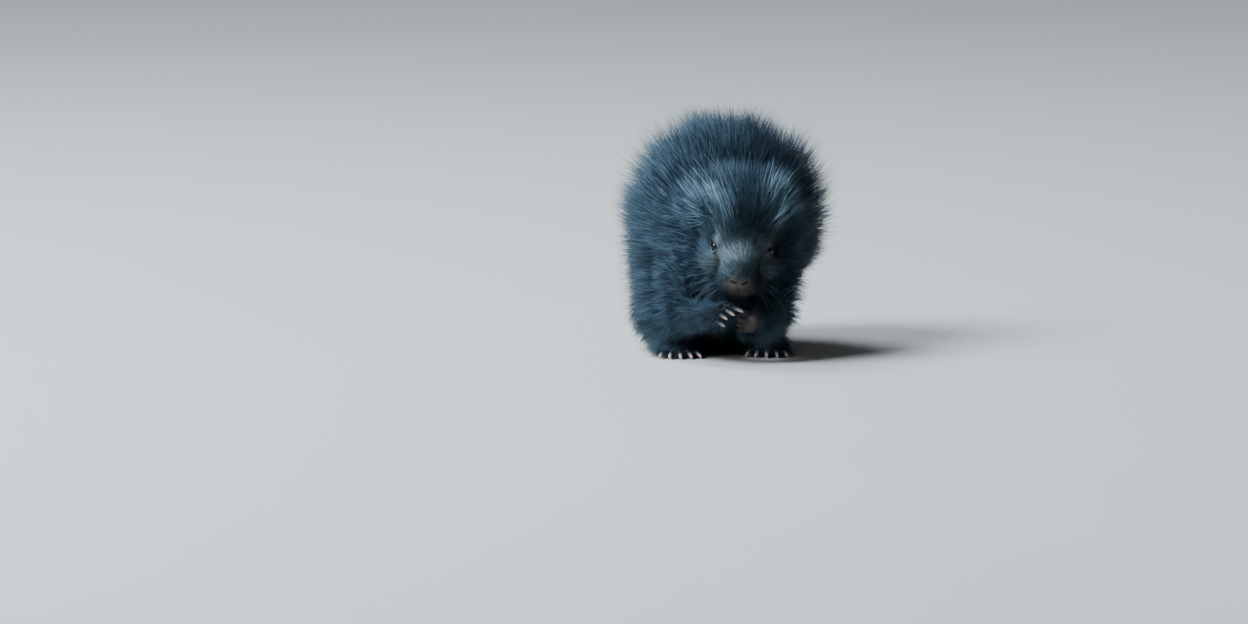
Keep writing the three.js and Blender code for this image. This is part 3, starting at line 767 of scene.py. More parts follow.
def skin_material(colours):
    nodes = Nodes("skin with short hair")
    grizzle, brown = nodes.fact("grizzle"), nodes.fact("brown")
    # Skin under the hair: its own dark colour, pulled further towards the root colour as painted shade in
    # the gaps between the strands
    mottle = nodes.noise(700.0)
    base = nodes.blend(mottle, colours.hair_root, colours.hair_middle)
    grey = nodes.blend(nodes.math("MULTIPLY", grizzle, 0.25), base, colours.grizzle)
    tinted = nodes.blend(brown, grey, colours.muzzle)
    palm = nodes.blend(nodes.fact("palm"), nodes.blend(0.3, tinted, colours.hair_root), colours.palm)
    # Painted shade: near black over the upper lids, in the nostrils and along the mouth
    dark = nodes.blend(nodes.fact("hollow"), palm, (0.004, 0.003, 0.003))
    # Painted reflection: pale blue on the wet lower lids, which are also made glossier below
    rim = nodes.blend(nodes.fact("rim"), dark, (0.11, 0.16, 0.20))
    grain = nodes.noise(2600.0, 2.0)
    folds = nodes.noise(420.0, 4.0)
    height = nodes.math("ADD", nodes.math("MULTIPLY", grain, 0.4), folds)
    rough = nodes.math("SUBTRACT", 0.62, nodes.math("MULTIPLY", nodes.fact("rim"), 0.4))
    return nodes.finish(Base_Color=rim, Roughness=rough, Normal=nodes.bump(height, 0.0004, 0.6),
                        Specular_IOR_Level=0.35)


def claw_material(colours):
    nodes = Nodes("claw horn")
    along = nodes.fact("along")
    streak = nodes.noise(900.0, 3.0)
    ramp = nodes.spread(nodes.math("ADD", along, nodes.math("MULTIPLY", streak, 0.3)), 0.55, 1.05)
    colour = nodes.blend(ramp, colours.claw_base, colours.claw_tip)
    return nodes.finish(Base_Color=colour, Roughness=0.32, Specular_IOR_Level=0.6,
                        Normal=nodes.bump(streak, 0.00015, 0.5))


def eye_material():
    nodes = Nodes("eye")
    colour = nodes.blend(nodes.noise(300.0), (0.002, 0.002, 0.003), (0.005, 0.004, 0.004))
    return nodes.finish(Base_Color=colour, Roughness=0.07, IOR=1.45, Specular_IOR_Level=0.3)


# The skin


def rough_body(animal):
    """The forms as one closed mesh of even faces."""
    built = bmesh.new()
    forms = [animal.trunk, animal.neck, animal.skull, animal.tail]
    forms += [*animal.arms.values(), *animal.legs.values(), *animal.forepaws.values()]
    forms += [*animal.hind_feet.values(), *animal.ears.values()]
    for form in forms:
        form.add_to(built)
    bmesh.ops.scale(built, vec=(MM, MM, MM), verts=built.verts)
    return built


def refine(mesh, places, radius):
    """Halves the faces near the places."""
    built = bmesh.new()
    built.from_mesh(mesh)
    centres = [Vector(place) * MM for place in places]
    reach = radius * MM
    edges = [edge for edge in built.edges
             if any((edge.verts[0].co - centre).length < reach for centre in centres)]
    bmesh.ops.subdivide_edges(built, edges=edges, cuts=1, use_grid_fill=True)
    built.to_mesh(mesh)
    built.free()


def relax(mesh, rounds):
    built = bmesh.new()
    built.from_mesh(mesh)
    for _ in range(rounds):
        bmesh.ops.smooth_vert(built, verts=built.verts, factor=0.5, use_axis_x=True, use_axis_y=True,
                              use_axis_z=True)
    built.to_mesh(mesh)
    built.free()


class PORCUPINE_OT_skin(bpy.types.Operator):
    """Build the one skin of body, head, ears, limbs, paws and tail"""

    bl_idname = "porcupine.skin"
    bl_label = "Skin"

    def execute(self, context):
        scene = context.scene
        animal = Animal(scene)
        mesh = mesh_of("skin", rough_body(animal))
        nodes = ["torso", "neck", "head", "tail"]
        nodes += [f"{part}_{side}" for part in ("ear", "foreleg", "hind_leg", "forepaw", "hind_foot")
                  for side in SIDES]
        skin = new_object("skin", mesh, nodes)
        remesh = skin.modifiers.new("even faces", "REMESH")
        remesh.mode = "VOXEL"
        remesh.voxel_size = scene.porcupine_body.skin_grid
        context.view_layer.update()
        even = bpy.data.meshes.new_from_object(skin.evaluated_get(context.evaluated_depsgraph_get()))
        skin.modifiers.clear()
        skin.data = even
        set_points(even, settled(points_of(even), animal.flesh, 3))
        relax(even, 2)
        palms = [animal.at(FOREPAWS[side]["palm"]) for side in SIDES]
        refine(even, [animal.on_head(0, (0, -16, -8))], 44)
        refine(even, palms, 30)
        eyes = [animal.on_head(side, EYE_PLACE) for side in SIDES.values()]
        set_points(even, settled(points_of(even), animal.flesh, 2))
        refine(even, eyes, 10)
        refine(even, [animal.on_head(0, (0, -40, -12))], 18)
        set_points(even, settled(points_of(even), animal.flesh, 2))
        relax(even, 1)
        set_points(even, animal.carved(settled(points_of(even), animal.flesh, 3, 0.5)))
        even.polygons.foreach_set("use_smooth", np.ones(len(even.polygons), dtype=bool))
        points = points_of(even)
        normals = unit(slope_of(animal.flesh, points))
        grizzle, brown = animal.markings(points)
        set_fact(even, "grizzle", grizzle)
        set_fact(even, "brown", brown)
        set_fact(even, "palm", animal.bare_paw(points, normals))
        rim, hollow = np.zeros(len(points)), np.zeros(len(points))
        for side in SIDES.values():
            ring, below, height = animal.eye_ring(side, points)
            # Painted reflection: a pale band along the lower edge of the lids
            edge = (1 - ease(np.abs(ring - 1.07), 0.03, 0.12)) * (height > 1)
            rim = np.maximum(rim, edge * ease(below, 0.5, 3.0))
            # Painted shade: near black over the upper lids, in the nostrils and along the mouth
            lid_shade = (1 - ease(np.abs(ring - 1.05), 0.1, 0.35)) * (height > 0)
            hollow = np.maximum(hollow, 0.85 * lid_shade * (1 - ease(below, -0.5, 2.0)))
            hollow = np.maximum(hollow, 1 - ease(animal.nostril_ring(side, points), 0.7, 1.2))
        hollow = np.maximum(hollow, 1 - ease(animal.mouth_room(placed(animal.from_head, points)), 0.8, 1.8))
        set_fact(even, "rim", rim)
        set_fact(even, "hollow", hollow)
        even.materials.clear()
        even.materials.append(skin_material(scene.porcupine_colours))
        return {"FINISHED"}


# Strands: closed three-sided tapering hairs, made as joined meshes from arrays

STRAND_SIDES = 3
STRANDS_IN_CLUMP = 20
UV_PATCH = 0.003
STAND = (0.30, 0.80)  # how upright a strand leaves the skin, in short hair and in the long coat
DROOP = (0.02, 0.14)
CURL = (0.06, 0.10)
ROOT_DEPTH = 0.4
FLOOR_GAP = 0.5
HAIR_PROUD = 9.0  # how far hair may reach past the solid model's box
COAT_PIECE = 12000  # most strands in one piece of the long coat, and of the straight strands
STRAIGHT_PIECE = 45000

# Each kind's stops along a strand, its length as a share of the coat's depth, how far its tips
# gather in clumps, how far it strays and its radius at the root
HAIR_KINDS = {
    "top_coat": {"stops": 4, "shares": (0.74, 1.16), "clump": 0.62, "wander": 0.11, "base": 0.27},
    "under_coat": {"stops": 2, "shares": (0.35, 0.85), "clump": 0.2, "wander": 0.18, "base": 0.27},
    "short_hair": {"stops": 2, "shares": (0.8, 1.6), "clump": 0.2, "wander": 0.2, "base": 0.30},
    "guard_hairs": {"stops": 6, "shares": (1.05, 1.42), "clump": 0.2, "wander": 0.13, "base": 0.2},
    "pale_hairs": {"stops": 6, "shares": (0.95, 1.4), "clump": 0.45, "wander": 0.12, "base": 0.3},
}


def strand_piece(name, paths, radii, facts, unwrap, material):
    """Joins strands into one piece. Paths hold each strand's rings and its tip, in millimetres."""
    count, stops = paths.shape[:2]
    rings = stops - 1
    tangent = unit(np.gradient(paths, axis=1))[:, :rings]
    helper = unit(np.cross(tangent[:, :1], facts["normal"][:, None, :]) + 1e-6)
    across = unit(helper - tangent * dot(helper, tangent)[..., None])
    up = np.cross(tangent, across)
    angles = np.arange(STRAND_SIDES) * 2 * math.pi / STRAND_SIDES
    spokes = (across[:, :, None] * np.cos(angles)[:, None] + up[:, :, None] * np.sin(angles)[:, None])
    ring_points = paths[:, :rings, None] + spokes * radii[:, :rings, None, None]
    points = np.concatenate([ring_points.reshape(count, -1, 3), paths[:, -1:]], axis=1)
    tip = rings * STRAND_SIDES
    template = [(0, 2, 1)]
    for side in range(STRAND_SIDES):
        after = (side + 1) % STRAND_SIDES
        for ring in range(rings - 1):
            base, upper = ring * STRAND_SIDES, (ring + 1) * STRAND_SIDES
            template.append((base + side, base + after, upper + after))
            template.append((base + side, upper + after, upper + side))
        template.append((tip - STRAND_SIDES + side, tip - STRAND_SIDES + after, tip))
    faces = np.array(template)[None] + (np.arange(count) * (tip + 1))[:, None, None]
    mesh = bpy.data.meshes.new(name)
    fill_mesh(mesh, points.reshape(-1, 3), faces.reshape(-1, 3))
    levels = np.append(np.repeat(np.linspace(0, 1, stops)[:-1], STRAND_SIDES), 1.0)
    sides = np.append(np.tile(np.arange(STRAND_SIDES) / (STRAND_SIDES - 1), rings), 0.5)
    set_fact(mesh, "along", np.tile(levels, count))
    for fact in ("luck", "grizzle", "brown"):
        set_fact(mesh, fact, np.repeat(facts[fact], tip + 1))
    corners = np.stack([np.tile(sides, count), np.tile(levels, count)], axis=1) - 0.5
    patch = np.repeat(unwrap, tip + 1, axis=0) + corners * UV_PATCH
    layer = mesh.uv_layers.new(name="OFBake")
    layer.data.foreach_set("uv", patch[faces.ravel()].astype(np.float32).ravel())
    mesh.materials.append(material)
    return new_object(name, mesh)


def fill_mesh(mesh, points, faces):
    mesh.vertices.add(len(points))
    mesh.vertices.foreach_set("co", (points * MM).astype(np.float32).ravel())
    mesh.loops.add(faces.size)
    mesh.loops.foreach_set("vertex_index", faces.astype(np.int32).ravel())
    mesh.polygons.add(len(faces))
    mesh.polygons.foreach_set("loop_start", np.arange(0, faces.size, 3, dtype=np.int32))
    mesh.polygons.foreach_set("use_smooth", np.ones(len(faces), dtype=bool))
    mesh.update(calc_edges=True)


def unwrapped(points, middle):
    """Places on an unwrap of the skin round its middle: the turn about the upright, and the height."""
    way = unit(points - middle)
    flat = np.stack([np.arctan2(way[:, 0], way[:, 1]), way[:, 2]], axis=1)
    low, high = flat.min(axis=0), flat.max(axis=0)
    return 0.01 + 0.98 * (flat - low) / np.maximum(high - low, 1e-6)


def skin_triangles():
    mesh = bpy.data.objects["skin"].data
    mesh.calc_loop_triangles()
    corners = np.empty(len(mesh.loop_triangles) * 3, dtype=np.int32)
    mesh.loop_triangles.foreach_get("vertices", corners)
    return points_of(mesh)[corners.reshape(-1, 3)]


def roots_on_skin(rng, count, weight):
    """Random points of the skin, more of them where the weight is greater."""
    triangles = skin_triangles()
    sides = triangles[:, 1:] - triangles[:, :1]
    areas = np.linalg.norm(np.cross(sides[:, 0], sides[:, 1]), axis=1) / 2
    chance = areas * weight(triangles.mean(axis=1))
    picked = rng.choice(len(triangles), size=count, p=chance / chance.sum())
    shares = rng.random((count, 2))
    over = shares.sum(axis=1) > 1
    shares[over] = 1 - shares[over]
    return triangles[picked, 0] + (shares[:, :, None] * sides[picked]).sum(axis=1)


def lie_of(animal, points, normals):
    """Hair streams away from the muzzle, and a little downwards."""
    stream = unit(points - animal.muzzle) + (0, 0, -0.12)
    lie = unit(stream - normals * dot(stream, normals)[:, None])
    turn = 0.32 * ripple(points, 46, 5) + 0.2 * ripple(points, 17, 6)
    return lie * np.cos(turn)[:, None] + np.cross(normals, lie) * np.sin(turn)[:, None]


def strand_paths(animal, rng, roots, normals, stops, length_share, clump, wander):
    """Curved paths from the roots, gathered in clumps whose tips lean together."""
    depth = animal.depth(roots)
    long_coat = ease(depth, 2, 16)
    stand = mix(*STAND, long_coat)
    lie = lie_of(animal, roots, normals)
    sidle = rng.normal(size=(len(roots), 3)) * wander
    way = unit(normals * stand[:, None] + lie * np.sqrt(1 - stand ** 2)[:, None] + sidle)
    droop = mix(*DROOP, long_coat)
    curl = mix(*CURL, long_coat)
    length = depth * length_share / (stand - droop)
    bend = lie * 0.2 - normals * (droop + curl)[:, None]
    bend[:, 2] -= 0.04 * long_coat
    start = roots - normals * ROOT_DEPTH
    along = np.linspace(0, 1, stops)
    paths = (start[:, None] + way[:, None] * (length[:, None] * along)[..., None]
             + bend[:, None] * (length[:, None] * along ** 2)[..., None])
    if clump > 0:
        paths = clumped(rng, roots, paths, along, clump)
    return held_in(paths)


def with_middles(paths):
    """The paths' stops with the middle of each stretch between them."""
    middles = (paths[:, 1:] + paths[:, :-1]) / 2
    pairs = np.stack([paths[:, :-1], middles], axis=2)
    return np.concatenate([pairs.reshape(len(paths), -1, 3), paths[:, -1:]], axis=1)


def eyes_open(animal, paths):
    """Which strands don't cross the eyes."""
    samples = with_middles(with_middles(paths))
    flat = samples.reshape(-1, 3)
    crossing = np.zeros(len(flat), dtype=bool)
    for side in SIDES.values():
        near = np.flatnonzero(np.linalg.norm(flat - np.array(animal.on_head(side, EYE_PLACE)), axis=1) < 24)
        ring, _, height = animal.eye_ring(side, flat[near])
        crossing[near] |= (ring < 1.15) & (height > 0)
    return ~crossing.reshape(samples.shape[:2]).any(axis=1)


def clumped(rng, roots, paths, along, strength):
    centres = rng.choice(len(roots), size=max(len(roots) // STRANDS_IN_CLUMP, 1), replace=False)
    tree = KDTree(len(centres))
    for i, centre in enumerate(centres):
        tree.insert(roots[centre], i)
    tree.balance()
    nearest = centres[[tree.find(root)[1] for root in roots]]
    lean = strength * rng.uniform(0.5, 1.0, len(roots))[:, None] * along ** 1.4
    apart = paths[:, :1] - paths[nearest][:, :1]
    return mix(paths, paths[nearest] + 0.45 * apart, lean[..., None])


def held_in(paths):
    """Keeps the hair within reach of the model's box and off the floor."""
    low, high = (np.array(corner) / MM for corner in CAD_BOX)
    ends = paths[:, -1]
    below = (HAIR_PROUD, HAIR_PROUD, -FLOOR_GAP)
    over = np.maximum(ends - high - HAIR_PROUD, 0) + np.minimum(ends - low + below, 0)
    along = np.linspace(0, 1, paths.shape[1]) ** 2
    paths = paths - over[:, None] * along[:, None]
    paths[..., 2] = np.maximum(paths[..., 2], FLOOR_GAP)
    return paths


def taper(base, stops, count, rng):
    shares = (1 - np.linspace(0, 1, stops)) ** 0.7
    return np.maximum(base * rng.uniform(0.75, 1.2, (count, 1)) * shares[None], 0.02)


def hair_facts(animal, rng, roots, normals):
    grizzle, brown = animal.markings(roots)
    luck = rng.random(len(roots)) * (1 - 0.85 * animal.dark_brow(roots))
    return {"normal": normals, "luck": luck, "grizzle": grizzle, "brown": brown}


def part_of(facts, chosen):
    return {name: values[chosen] for name, values in facts.items()}


def bare(animal, points):
    """1 where no hair grows: eyes, nostrils, lips, palms and soles."""
    local = placed(animal.from_head, points)
    room = animal.mouth_room(local) - 1.2
    for side in SIDES.values():
        ring, _, height = animal.eye_ring(side, points)
        room = np.minimum(room, 7 * (ring - 1.14) + 9 * (height < 0))
        room = np.minimum(room, 3 * (animal.nostril_ring(side, points) - 1.2))
    paw = animal.bare_paw(points, unit(slope_of(animal.flesh, points)))
    return np.maximum(1 - ease(room, 0, 2.0), ease(paw, 0.2, 0.6))


def grow(animal, rng, count, weight, stops, shares, clump, wander, base):
    """Grows strands of one kind on the skin: their roots, paths, radii and facts."""
    roots = roots_on_skin(rng, count, weight)
    normals = unit(slope_of(animal.flesh, roots))
    share = mix(*shares, rng.random(count) ** 0.8)
    paths = strand_paths(animal, rng, roots, normals, stops, share, clump, wander)
    kept = eyes_open(animal, paths)
    roots, normals, paths = roots[kept], normals[kept], paths[kept]
    thick = mix(0.45, 1, ease(animal.depth(roots), 2, 18)) * base
    facts = hair_facts(animal, rng, roots, normals)
    return roots, paths, taper(thick[:, None], stops, len(roots), rng), facts


def grow_pieces(name, animal, grown, most, material):
    """One piece for each part of the body, or several where it has more strands than one piece may."""
    roots, paths, radii, facts = grown
    nearest = animal.nearest_part(roots)
    middle = np.array(animal.body @ animal.trunk_middle)
    for number, part in enumerate(animal.hair_parts):
        chosen = np.flatnonzero(nearest == number)
        if not len(chosen):
            continue
        pieces = math.ceil(len(chosen) / most)
        turn = np.arctan2(*(roots[chosen] - middle)[:, :2].T)
        for i, group in enumerate(np.array_split(chosen[np.argsort(turn)], pieces)):
            label = f"{name}_{part}" if pieces == 1 else f"{name}_{part}_{i + 1}"
            around = middle if part == "torso" else roots[group].mean(axis=0)
            unwrap = unwrapped(roots[group], around)
            strand_piece(label, paths[group], radii[group], part_of(facts, group), unwrap, material)


class PORCUPINE_OT_coat(bpy.types.Operator):
    """Grow the long and the shorter hair of the body"""

    bl_idname = "porcupine.coat"
    bl_label = "Coat"

    def execute(self, context):
        scene = context.scene
        coat = scene.porcupine_coat
        animal = Animal(scene)

        def weight(points):
            under = ease(-placed(animal.from_body, points)[:, 2], -34, -6)
            covered = 1 - bare(animal, points)
            return covered * ease(animal.depth(points), 2.5, 9) * mix(1, 0.3, under)

        material = hair_material("coat hair", scene.porcupine_colours)
        rng = np.random.default_rng(31)
        for name, count, most in (("top_coat", coat.top_strands, COAT_PIECE),
                                  ("under_coat", coat.under_strands, STRAIGHT_PIECE)):
            grown = grow(animal, rng, count, weight, **HAIR_KINDS[name])
            grow_pieces(name, animal, grown, most, material)
        return {"FINISHED"}


class PORCUPINE_OT_short_hair(bpy.types.Operator):
    """Grow the short hair of face, ears and paws"""

    bl_idname = "porcupine.short_hair"
    bl_label = "Short hair"

    def execute(self, context):
        scene = context.scene
        animal = Animal(scene)

        def weight(points):
            depth = animal.depth(points)
            return (1 - bare(animal, points)) * (1 - ease(depth, 6, 13))

        material = hair_material("short hair", scene.porcupine_colours)
        count = scene.porcupine_coat.short_strands
        grown = grow(animal, np.random.default_rng(32), count, weight, **HAIR_KINDS["short_hair"])
        grow_pieces("short_hair", animal, grown, STRAIGHT_PIECE, material)
        return {"FINISHED"}


class PORCUPINE_OT_guard_hairs(bpy.types.Operator):
    """Grow the long single hairs, dark over the body and pale on the crown and at one ear"""

    bl_idname = "porcupine.guard_hairs"
    bl_label = "Guard hairs"

    def execute(self, context):
        scene = context.scene
        animal = Animal(scene)
        rng = np.random.default_rng(33)
        coat = scene.porcupine_coat
        middle = np.array(animal.body @ animal.trunk_middle)

        def body_weight(points):
            return (1 - bare(animal, points)) * ease(animal.depth(points), 10, 22)

        def crown_weight(points):
            local = placed(animal.from_head, points)
            crown = ease(local[:, 1], -2, 14) * (1 - ease(local[:, 1], 40, 62)) * ease(local[:, 2], 0, 12)
            patches = ease(ripple(points, 26, 8), 0.0, 0.5)
            near = animal.skull.distance(points) < 14
            ear_room = np.linalg.norm(local - (-EAR_PLACE[0], EAR_PLACE[1], EAR_PLACE[2]), axis=1)
            tuft = 0.7 * np.exp(-((ear_room / 12) ** 2))
            right_lane = np.exp(-(((local[:, 0] + 14) / 14) ** 2))
            left_lane = np.exp(-(((local[:, 0] - 20) / 7) ** 2))
            wanted = crown * (0.12 + patches) * (left_lane + right_lane) + tuft
            return near * (1 - bare(animal, points)) * wanted * ease(animal.depth(points), 3, 9)

        kinds = {
            "guard_hairs": (coat.guard_strands, body_weight, 0.0),
            "pale_hairs": (coat.pale_strands, crown_weight, 1.0),
        }
        for name, (count, weight, pale) in kinds.items():
            roots, *grown = grow(animal, rng, count, weight, **HAIR_KINDS[name])
            material = hair_material(name.replace("_", " "), scene.porcupine_colours, pale)
            strand_piece(name, *grown, unwrapped(roots, middle), material)
        return {"FINISHED"}


WHISKER_STOPS = 14
WHISKER_ROWS = 4
WHISKER_LENGTHS = (26, 56)
WHISKER_RADIUS = 0.15


class PORCUPINE_OT_whiskers(bpy.types.Operator):
    """Grow the whiskers of the muzzle and cheeks"""

    bl_idname = "porcupine.whiskers"
    bl_label = "Whiskers"

    def execute(self, context):
        scene = context.scene
        animal = Animal(scene)
        rng = np.random.default_rng(34)
        count = scene.porcupine_coat.whiskers
        along = np.linspace(0, 1, WHISKER_STOPS)[:, None]
        turn = np.array(animal.head.to_3x3())
        side = np.repeat(list(SIDES.values()), count)
        order = np.arange(count)
        row = np.tile(order % WHISKER_ROWS, 2)
        place = np.tile(order // WHISKER_ROWS / (count / WHISKER_ROWS), 2)
        local = np.stack([side * (14 + 4 * place), -37 + 12 * place, -13 - 4 * row + 3 * place], axis=1)
        starts = settled(placed(animal.head, local + rng.normal(size=local.shape) * 0.6), animal.flesh, 4)
        normals = unit(slope_of(animal.flesh, starts))
        lean = np.stack([side * 0.7, 0.35 + 0 * side, -0.25 - 0.1 * row], axis=1) @ turn.T
        way = unit(normals + lean + rng.normal(size=lean.shape) * 0.2)
        length = rng.uniform(*WHISKER_LENGTHS, len(side))
        fall = np.array([0, 0, -1]) * rng.uniform(0.25, 1.0, (len(side), 1)) + turn @ np.array([0, 0.25, 0])
        hook = np.stack([-side * rng.uniform(0.0, 0.5, len(side)), 0 * side, 0 * side], axis=1)
        paths = starts[:, None] + length[:, None, None] * (
            way[:, None] * along + fall[:, None] * along ** 2 + hook[:, None] * along ** 3)
        radii = taper(WHISKER_RADIUS, WHISKER_STOPS, len(paths), rng)
        facts = {"normal": normals, "luck": rng.random(len(paths)), "grizzle": np.zeros(len(paths)),
                 "brown": np.zeros(len(paths))}
        material = hair_material("whisker", scene.porcupine_colours, 0.3)
        unwrap = unwrapped(paths[:, 0], animal.muzzle)
        strand_piece("whiskers", held_in(paths), radii, facts, unwrap, material)
        return {"FINISHED"}


# Eyes and claws


class PORCUPINE_OT_eyes(bpy.types.Operator):
    """Build the two eyes"""

    bl_idname = "porcupine.eyes"
    bl_label = "Eyes"

    def execute(self, context):
        animal = Animal(context.scene)
        material = eye_material()
        for name, side in SIDES.items():
            built = bmesh.new()
            bmesh.ops.create_uvsphere(built, u_segments=48, v_segments=32, radius=EYE_RADIUS)
            for vert in built.verts:
                out = min(math.hypot(vert.co.x, vert.co.y) / EYE_RADIUS, 1)
                height = EYE_RADIUS * (1 - out ** EYE_FLATNESS) ** (1 / EYE_FLATNESS)
                vert.co.z = math.copysign(height, vert.co.z)
                vert.co *= EYE_SWELL
            bmesh.ops.transform(built, matrix=animal.eye_frame(side), verts=built.verts)
            bmesh.ops.scale(built, vec=(MM, MM, MM), verts=built.verts)
            mesh = mesh_of(f"eyeball_{name}", built)
            mesh.materials.append(material)
            new_object(f"eyeball_{name}", mesh, [f"eye_{name}"])
        return {"FINISHED"}


CLAW_STEPS = 10
CLAW_SIDES = 14
CLAW_SINK = 1.2  # how far the root is sunk in the digit
FORE_CLAW = (4.1, 3.5)  # width and thickness
HIND_CLAW = (4.4, 3.8)
HIND_CLAW_LENGTH = 14
HIND_CLAW_BEND = (0, 0, -0.3)


def claw_mesh(name, knuckle, tip, way, bend, length, width, thickness):
    """A ring drawn out along a bent line, smaller at each step, to a point."""
    way, bend = way.normalized(), Vector(bend)
    start = tip - (tip - knuckle).normalized() * CLAW_SINK
    across = way.cross(bend).normalized()
    built = bmesh.new()
    ring = bmesh.ops.create_circle(built, segments=CLAW_SIDES, radius=1, cap_ends=True)["verts"]
    edges = list(built.edges)
    levels = {vert: 0.0 for vert in ring}

    def reached(step):
        return 1 - (1 - step / CLAW_STEPS) ** 1.5

    def place(along):
        share = (1 - min(along, 0.99) ** 6) ** 0.5 * (1 - 0.2 * along)
        tangent = (way + bend * 2 * along).normalized()
        out = across.cross(tangent)
        middle = start + way * along * length + bend * along * along * length
        turn = Matrix((across * width / 2 * share, out * thickness / 2 * share, tangent)).transposed()
        matrix = turn.to_4x4()
        matrix.translation = middle
        return matrix

    shapes = {vert: vert.co.copy() for vert in ring}
    rings = [list(ring)]
    for step in range(1, CLAW_STEPS + 1):
        made = bmesh.ops.extrude_edge_only(built, edges=edges)["geom"]
        edges = [item for item in made if isinstance(item, bmesh.types.BMEdge)
                 and all(vert not in rings[-1] for vert in item.verts)]
        fresh = [item for item in made if isinstance(item, bmesh.types.BMVert)]
        for vert in fresh:
            nearest = min(rings[0], key=lambda other: (shapes[other] - vert.co).length)
            shapes[vert] = shapes[nearest].copy()
            levels[vert] = reached(step)
        rings.append(fresh)
    for step, verts in enumerate(rings):
        matrix = place(reached(step))
        for vert in verts:
            vert.co = matrix @ shapes[vert]
    bmesh.ops.edgeloop_fill(built, edges=edges)
    bmesh.ops.recalc_face_normals(built, faces=built.faces)
    bmesh.ops.scale(built, vec=(MM, MM, MM), verts=built.verts)
    order = [levels[vert] for vert in built.verts]
    mesh = mesh_of(name, built)
    set_fact(mesh, "along", order)
    return mesh


class PORCUPINE_OT_claws(bpy.types.Operator):
    """Build the claws of all four feet"""

    bl_idname = "porcupine.claws"
    bl_label = "Claws"

    def execute(self, context):
        animal = Animal(context.scene)
        material = claw_material(context.scene.porcupine_colours)
        for name in SIDES:
            paw = FOREPAWS[name]
            fore = [(animal.at(knuckle), animal.at(tip), Vector(way))
                    for knuckle, tip, way in paw["digits"]]
            kinds = {"fore": (fore, paw["bend"], paw["claw"], *FORE_CLAW),
                     "hind": (animal.toes(name), HIND_CLAW_BEND, HIND_CLAW_LENGTH, *HIND_CLAW)}
            for kind, (digits, bend, *sizes) in kinds.items():
                for i, (knuckle, tip, way) in enumerate(digits):
                    label = f"{kind}_{name}_{i + 1}"
                    mesh = claw_mesh(f"horn_{label}", knuckle, tip, way, bend, *sizes)
                    mesh.materials.append(material)
                    new_object(f"horn_{label}", mesh, [f"claw_{label}"])
        return {"FINISHED"}


# Stage

PHOTO_SCALE = 1.03  # millimetres for each of the picture's pixels
PICTURE_WIDTH = 1248
CAMERA_LENS = 200.0
CAMERA_SENSOR = 36.0
CAMERA_RISE = math.radians(7)
CAMERA_AIM = (-102.0, 0.0, 39.4)
LIGHTS_AIM = (0, 0, 0.12)
SOFT_LIGHTS = {
    "key": {"place": (-3.0, -1.6, 3.1), "size": 2.2, "power": 310},
    "back": {"place": (-1.7, 1.4, 3.5), "size": 2.0, "power": 150},
}
SOFT_COLOUR = (0.74, 0.88, 1.0)
SKY_COLOUR = (0.86, 0.94, 1.0)
SKY_STRENGTH = 1.9
SKY_WIDTH = math.radians(40)
SKY_TURN = (math.radians(18), math.radians(-56), 0)
ROOM_COLOUR = (0.78, 0.82, 0.86, 1)
ROOM_STRENGTH = 0.09
FLOOR_SIZE = 14


def soft_light(name, place, size, power):
    data = bpy.data.lights.new(name, "AREA")
    data.shape = "DISK"
    data.size = size
    data.energy = power
    data.color = SOFT_COLOUR
    light = bpy.data.objects.new(name, data)
    light.location = place
    light.rotation_euler = (Vector(LIGHTS_AIM) - Vector(place)).to_track_quat("-Z", "Y").to_euler()
    bpy.context.scene.collection.objects.link(light)


def sky_light():
    data = bpy.data.lights.new("sky", "SUN")
    data.energy = SKY_STRENGTH
    data.angle = SKY_WIDTH
    data.color = SKY_COLOUR
    light = bpy.data.objects.new("sky", data)
    light.rotation_euler = SKY_TURN
    bpy.context.scene.collection.objects.link(light)


def room_light():
    world = bpy.data.worlds.new("studio")
    world.use_nodes = True
    background = world.node_tree.nodes["Background"]
    background.inputs["Color"].default_value = ROOM_COLOUR
    background.inputs["Strength"].default_value = ROOM_STRENGTH
    bpy.context.scene.world = world


def floor_material(colour):
    nodes = Nodes("studio floor")
    darker = tuple(0.94 * value for value in colour)
    return nodes.finish(
        Base_Color=nodes.blend(nodes.noise(1.3, 2.0), tuple(colour), darker), Roughness=0.85,
        Normal=nodes.bump(nodes.noise(400.0), 0.0003, 0.3))


def photo_camera(animal):
    """A camera far off, which sees the picture's width at the picture's scale."""
    distance = PHOTO_SCALE * PICTURE_WIDTH * CAMERA_LENS / CAMERA_SENSOR * MM
    way = Vector((0, -math.cos(CAMERA_RISE), math.sin(CAMERA_RISE)))
    data = bpy.data.cameras.new("camera")
    data.lens = CAMERA_LENS
    data.sensor_width = CAMERA_SENSOR
    data.clip_end = 100
    camera = bpy.data.objects.new("camera", data)
    camera.location = animal.at(CAMERA_AIM) * MM + way * distance
    camera.rotation_euler = (-way).to_track_quat("-Z", "Y").to_euler()
    return camera


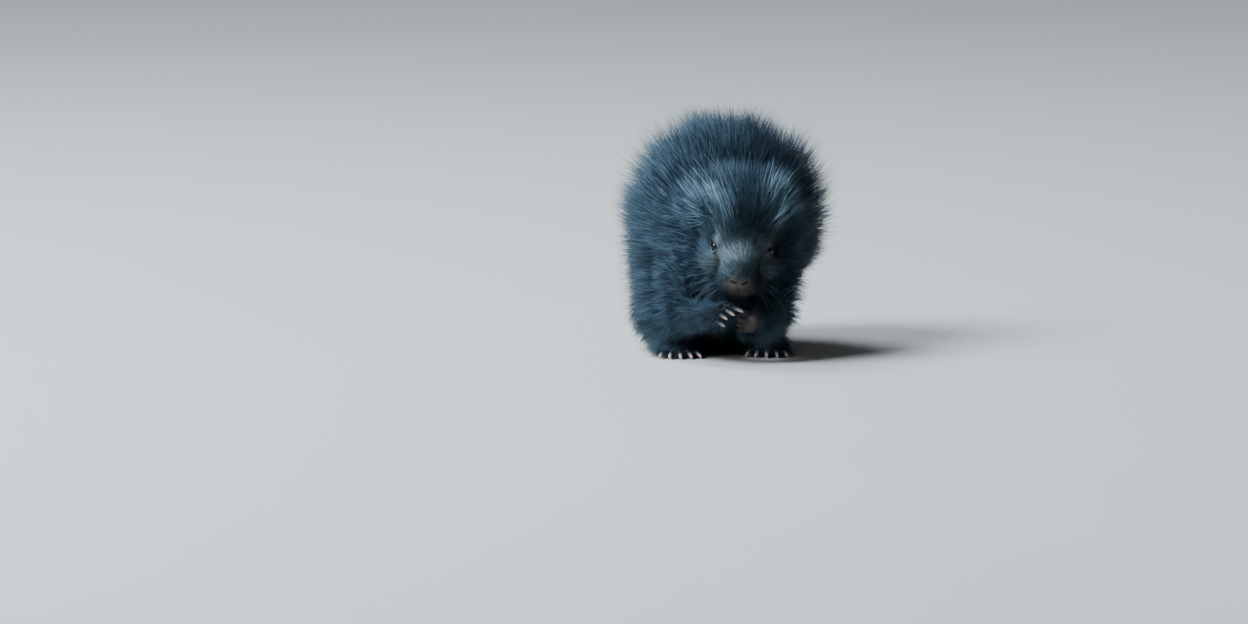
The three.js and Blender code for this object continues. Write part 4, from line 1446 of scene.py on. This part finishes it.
class PORCUPINE_OT_stage(bpy.types.Operator):
    """Set the floor, the lights and the camera"""

    bl_idname = "porcupine.stage"
    bl_label = "Stage"

    def execute(self, context):
        scene = context.scene
        built = bmesh.new()
        bmesh.ops.create_grid(built, x_segments=2, y_segments=2, size=FLOOR_SIZE)
        mesh = mesh_of("floor", built)
        mesh.materials.append(floor_material(scene.porcupine_colours.floor))
        floor = bpy.data.objects.new("floor", mesh)
        scene.collection.objects.link(floor)
        floor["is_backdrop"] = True
        scene.camera = photo_camera(Animal(scene))
        scene.collection.objects.link(scene.camera)
        for name, light in SOFT_LIGHTS.items():
            soft_light(name, **light)
        sky_light()
        room_light()
        return {"FINISHED"}


class PORCUPINE_PT_panel(bpy.types.Panel):
    """List the settings and the pieces"""

    bl_label = "Porcupine"
    bl_idname = "PORCUPINE_PT_panel"
    bl_space_type = "VIEW_3D"
    bl_region_type = "UI"
    bl_category = "Porcupine"

    def draw(self, context):
        for group in (context.scene.porcupine_body, context.scene.porcupine_coat,
                      context.scene.porcupine_colours):
            box = self.layout.box()
            for name in group.__annotations__:
                box.prop(group, name)
        for operator in OPERATORS:
            self.layout.operator(operator.bl_idname)


SETTINGS = {
    "porcupine_body": PORCUPINE_PG_body,
    "porcupine_coat": PORCUPINE_PG_coat,
    "porcupine_colours": PORCUPINE_PG_colours,
}
OPERATORS = (
    PORCUPINE_OT_stage,
    PORCUPINE_OT_skin,
    PORCUPINE_OT_eyes,
    PORCUPINE_OT_claws,
    PORCUPINE_OT_coat,
    PORCUPINE_OT_short_hair,
    PORCUPINE_OT_guard_hairs,
    PORCUPINE_OT_whiskers,
)


def register():
    for entry in (*SETTINGS.values(), *OPERATORS, PORCUPINE_PT_panel):
        bpy.utils.register_class(entry)
    for name, group in SETTINGS.items():
        setattr(bpy.types.Scene, name, PointerProperty(type=group))


def unregister():
    for name in SETTINGS:
        delattr(bpy.types.Scene, name)
    for entry in reversed((*SETTINGS.values(), *OPERATORS, PORCUPINE_PT_panel)):
        bpy.utils.unregister_class(entry)


def corners(box):
    return [list(corner) for corner in box]


def main():
    register()
    for operator in OPERATORS:
        family, name = operator.bl_idname.split(".")
        getattr(getattr(bpy.ops, family), name)()
    {"cad": corners(CAD_BOX), "visual": corners(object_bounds())}


if __name__ == "__main__":
    main()
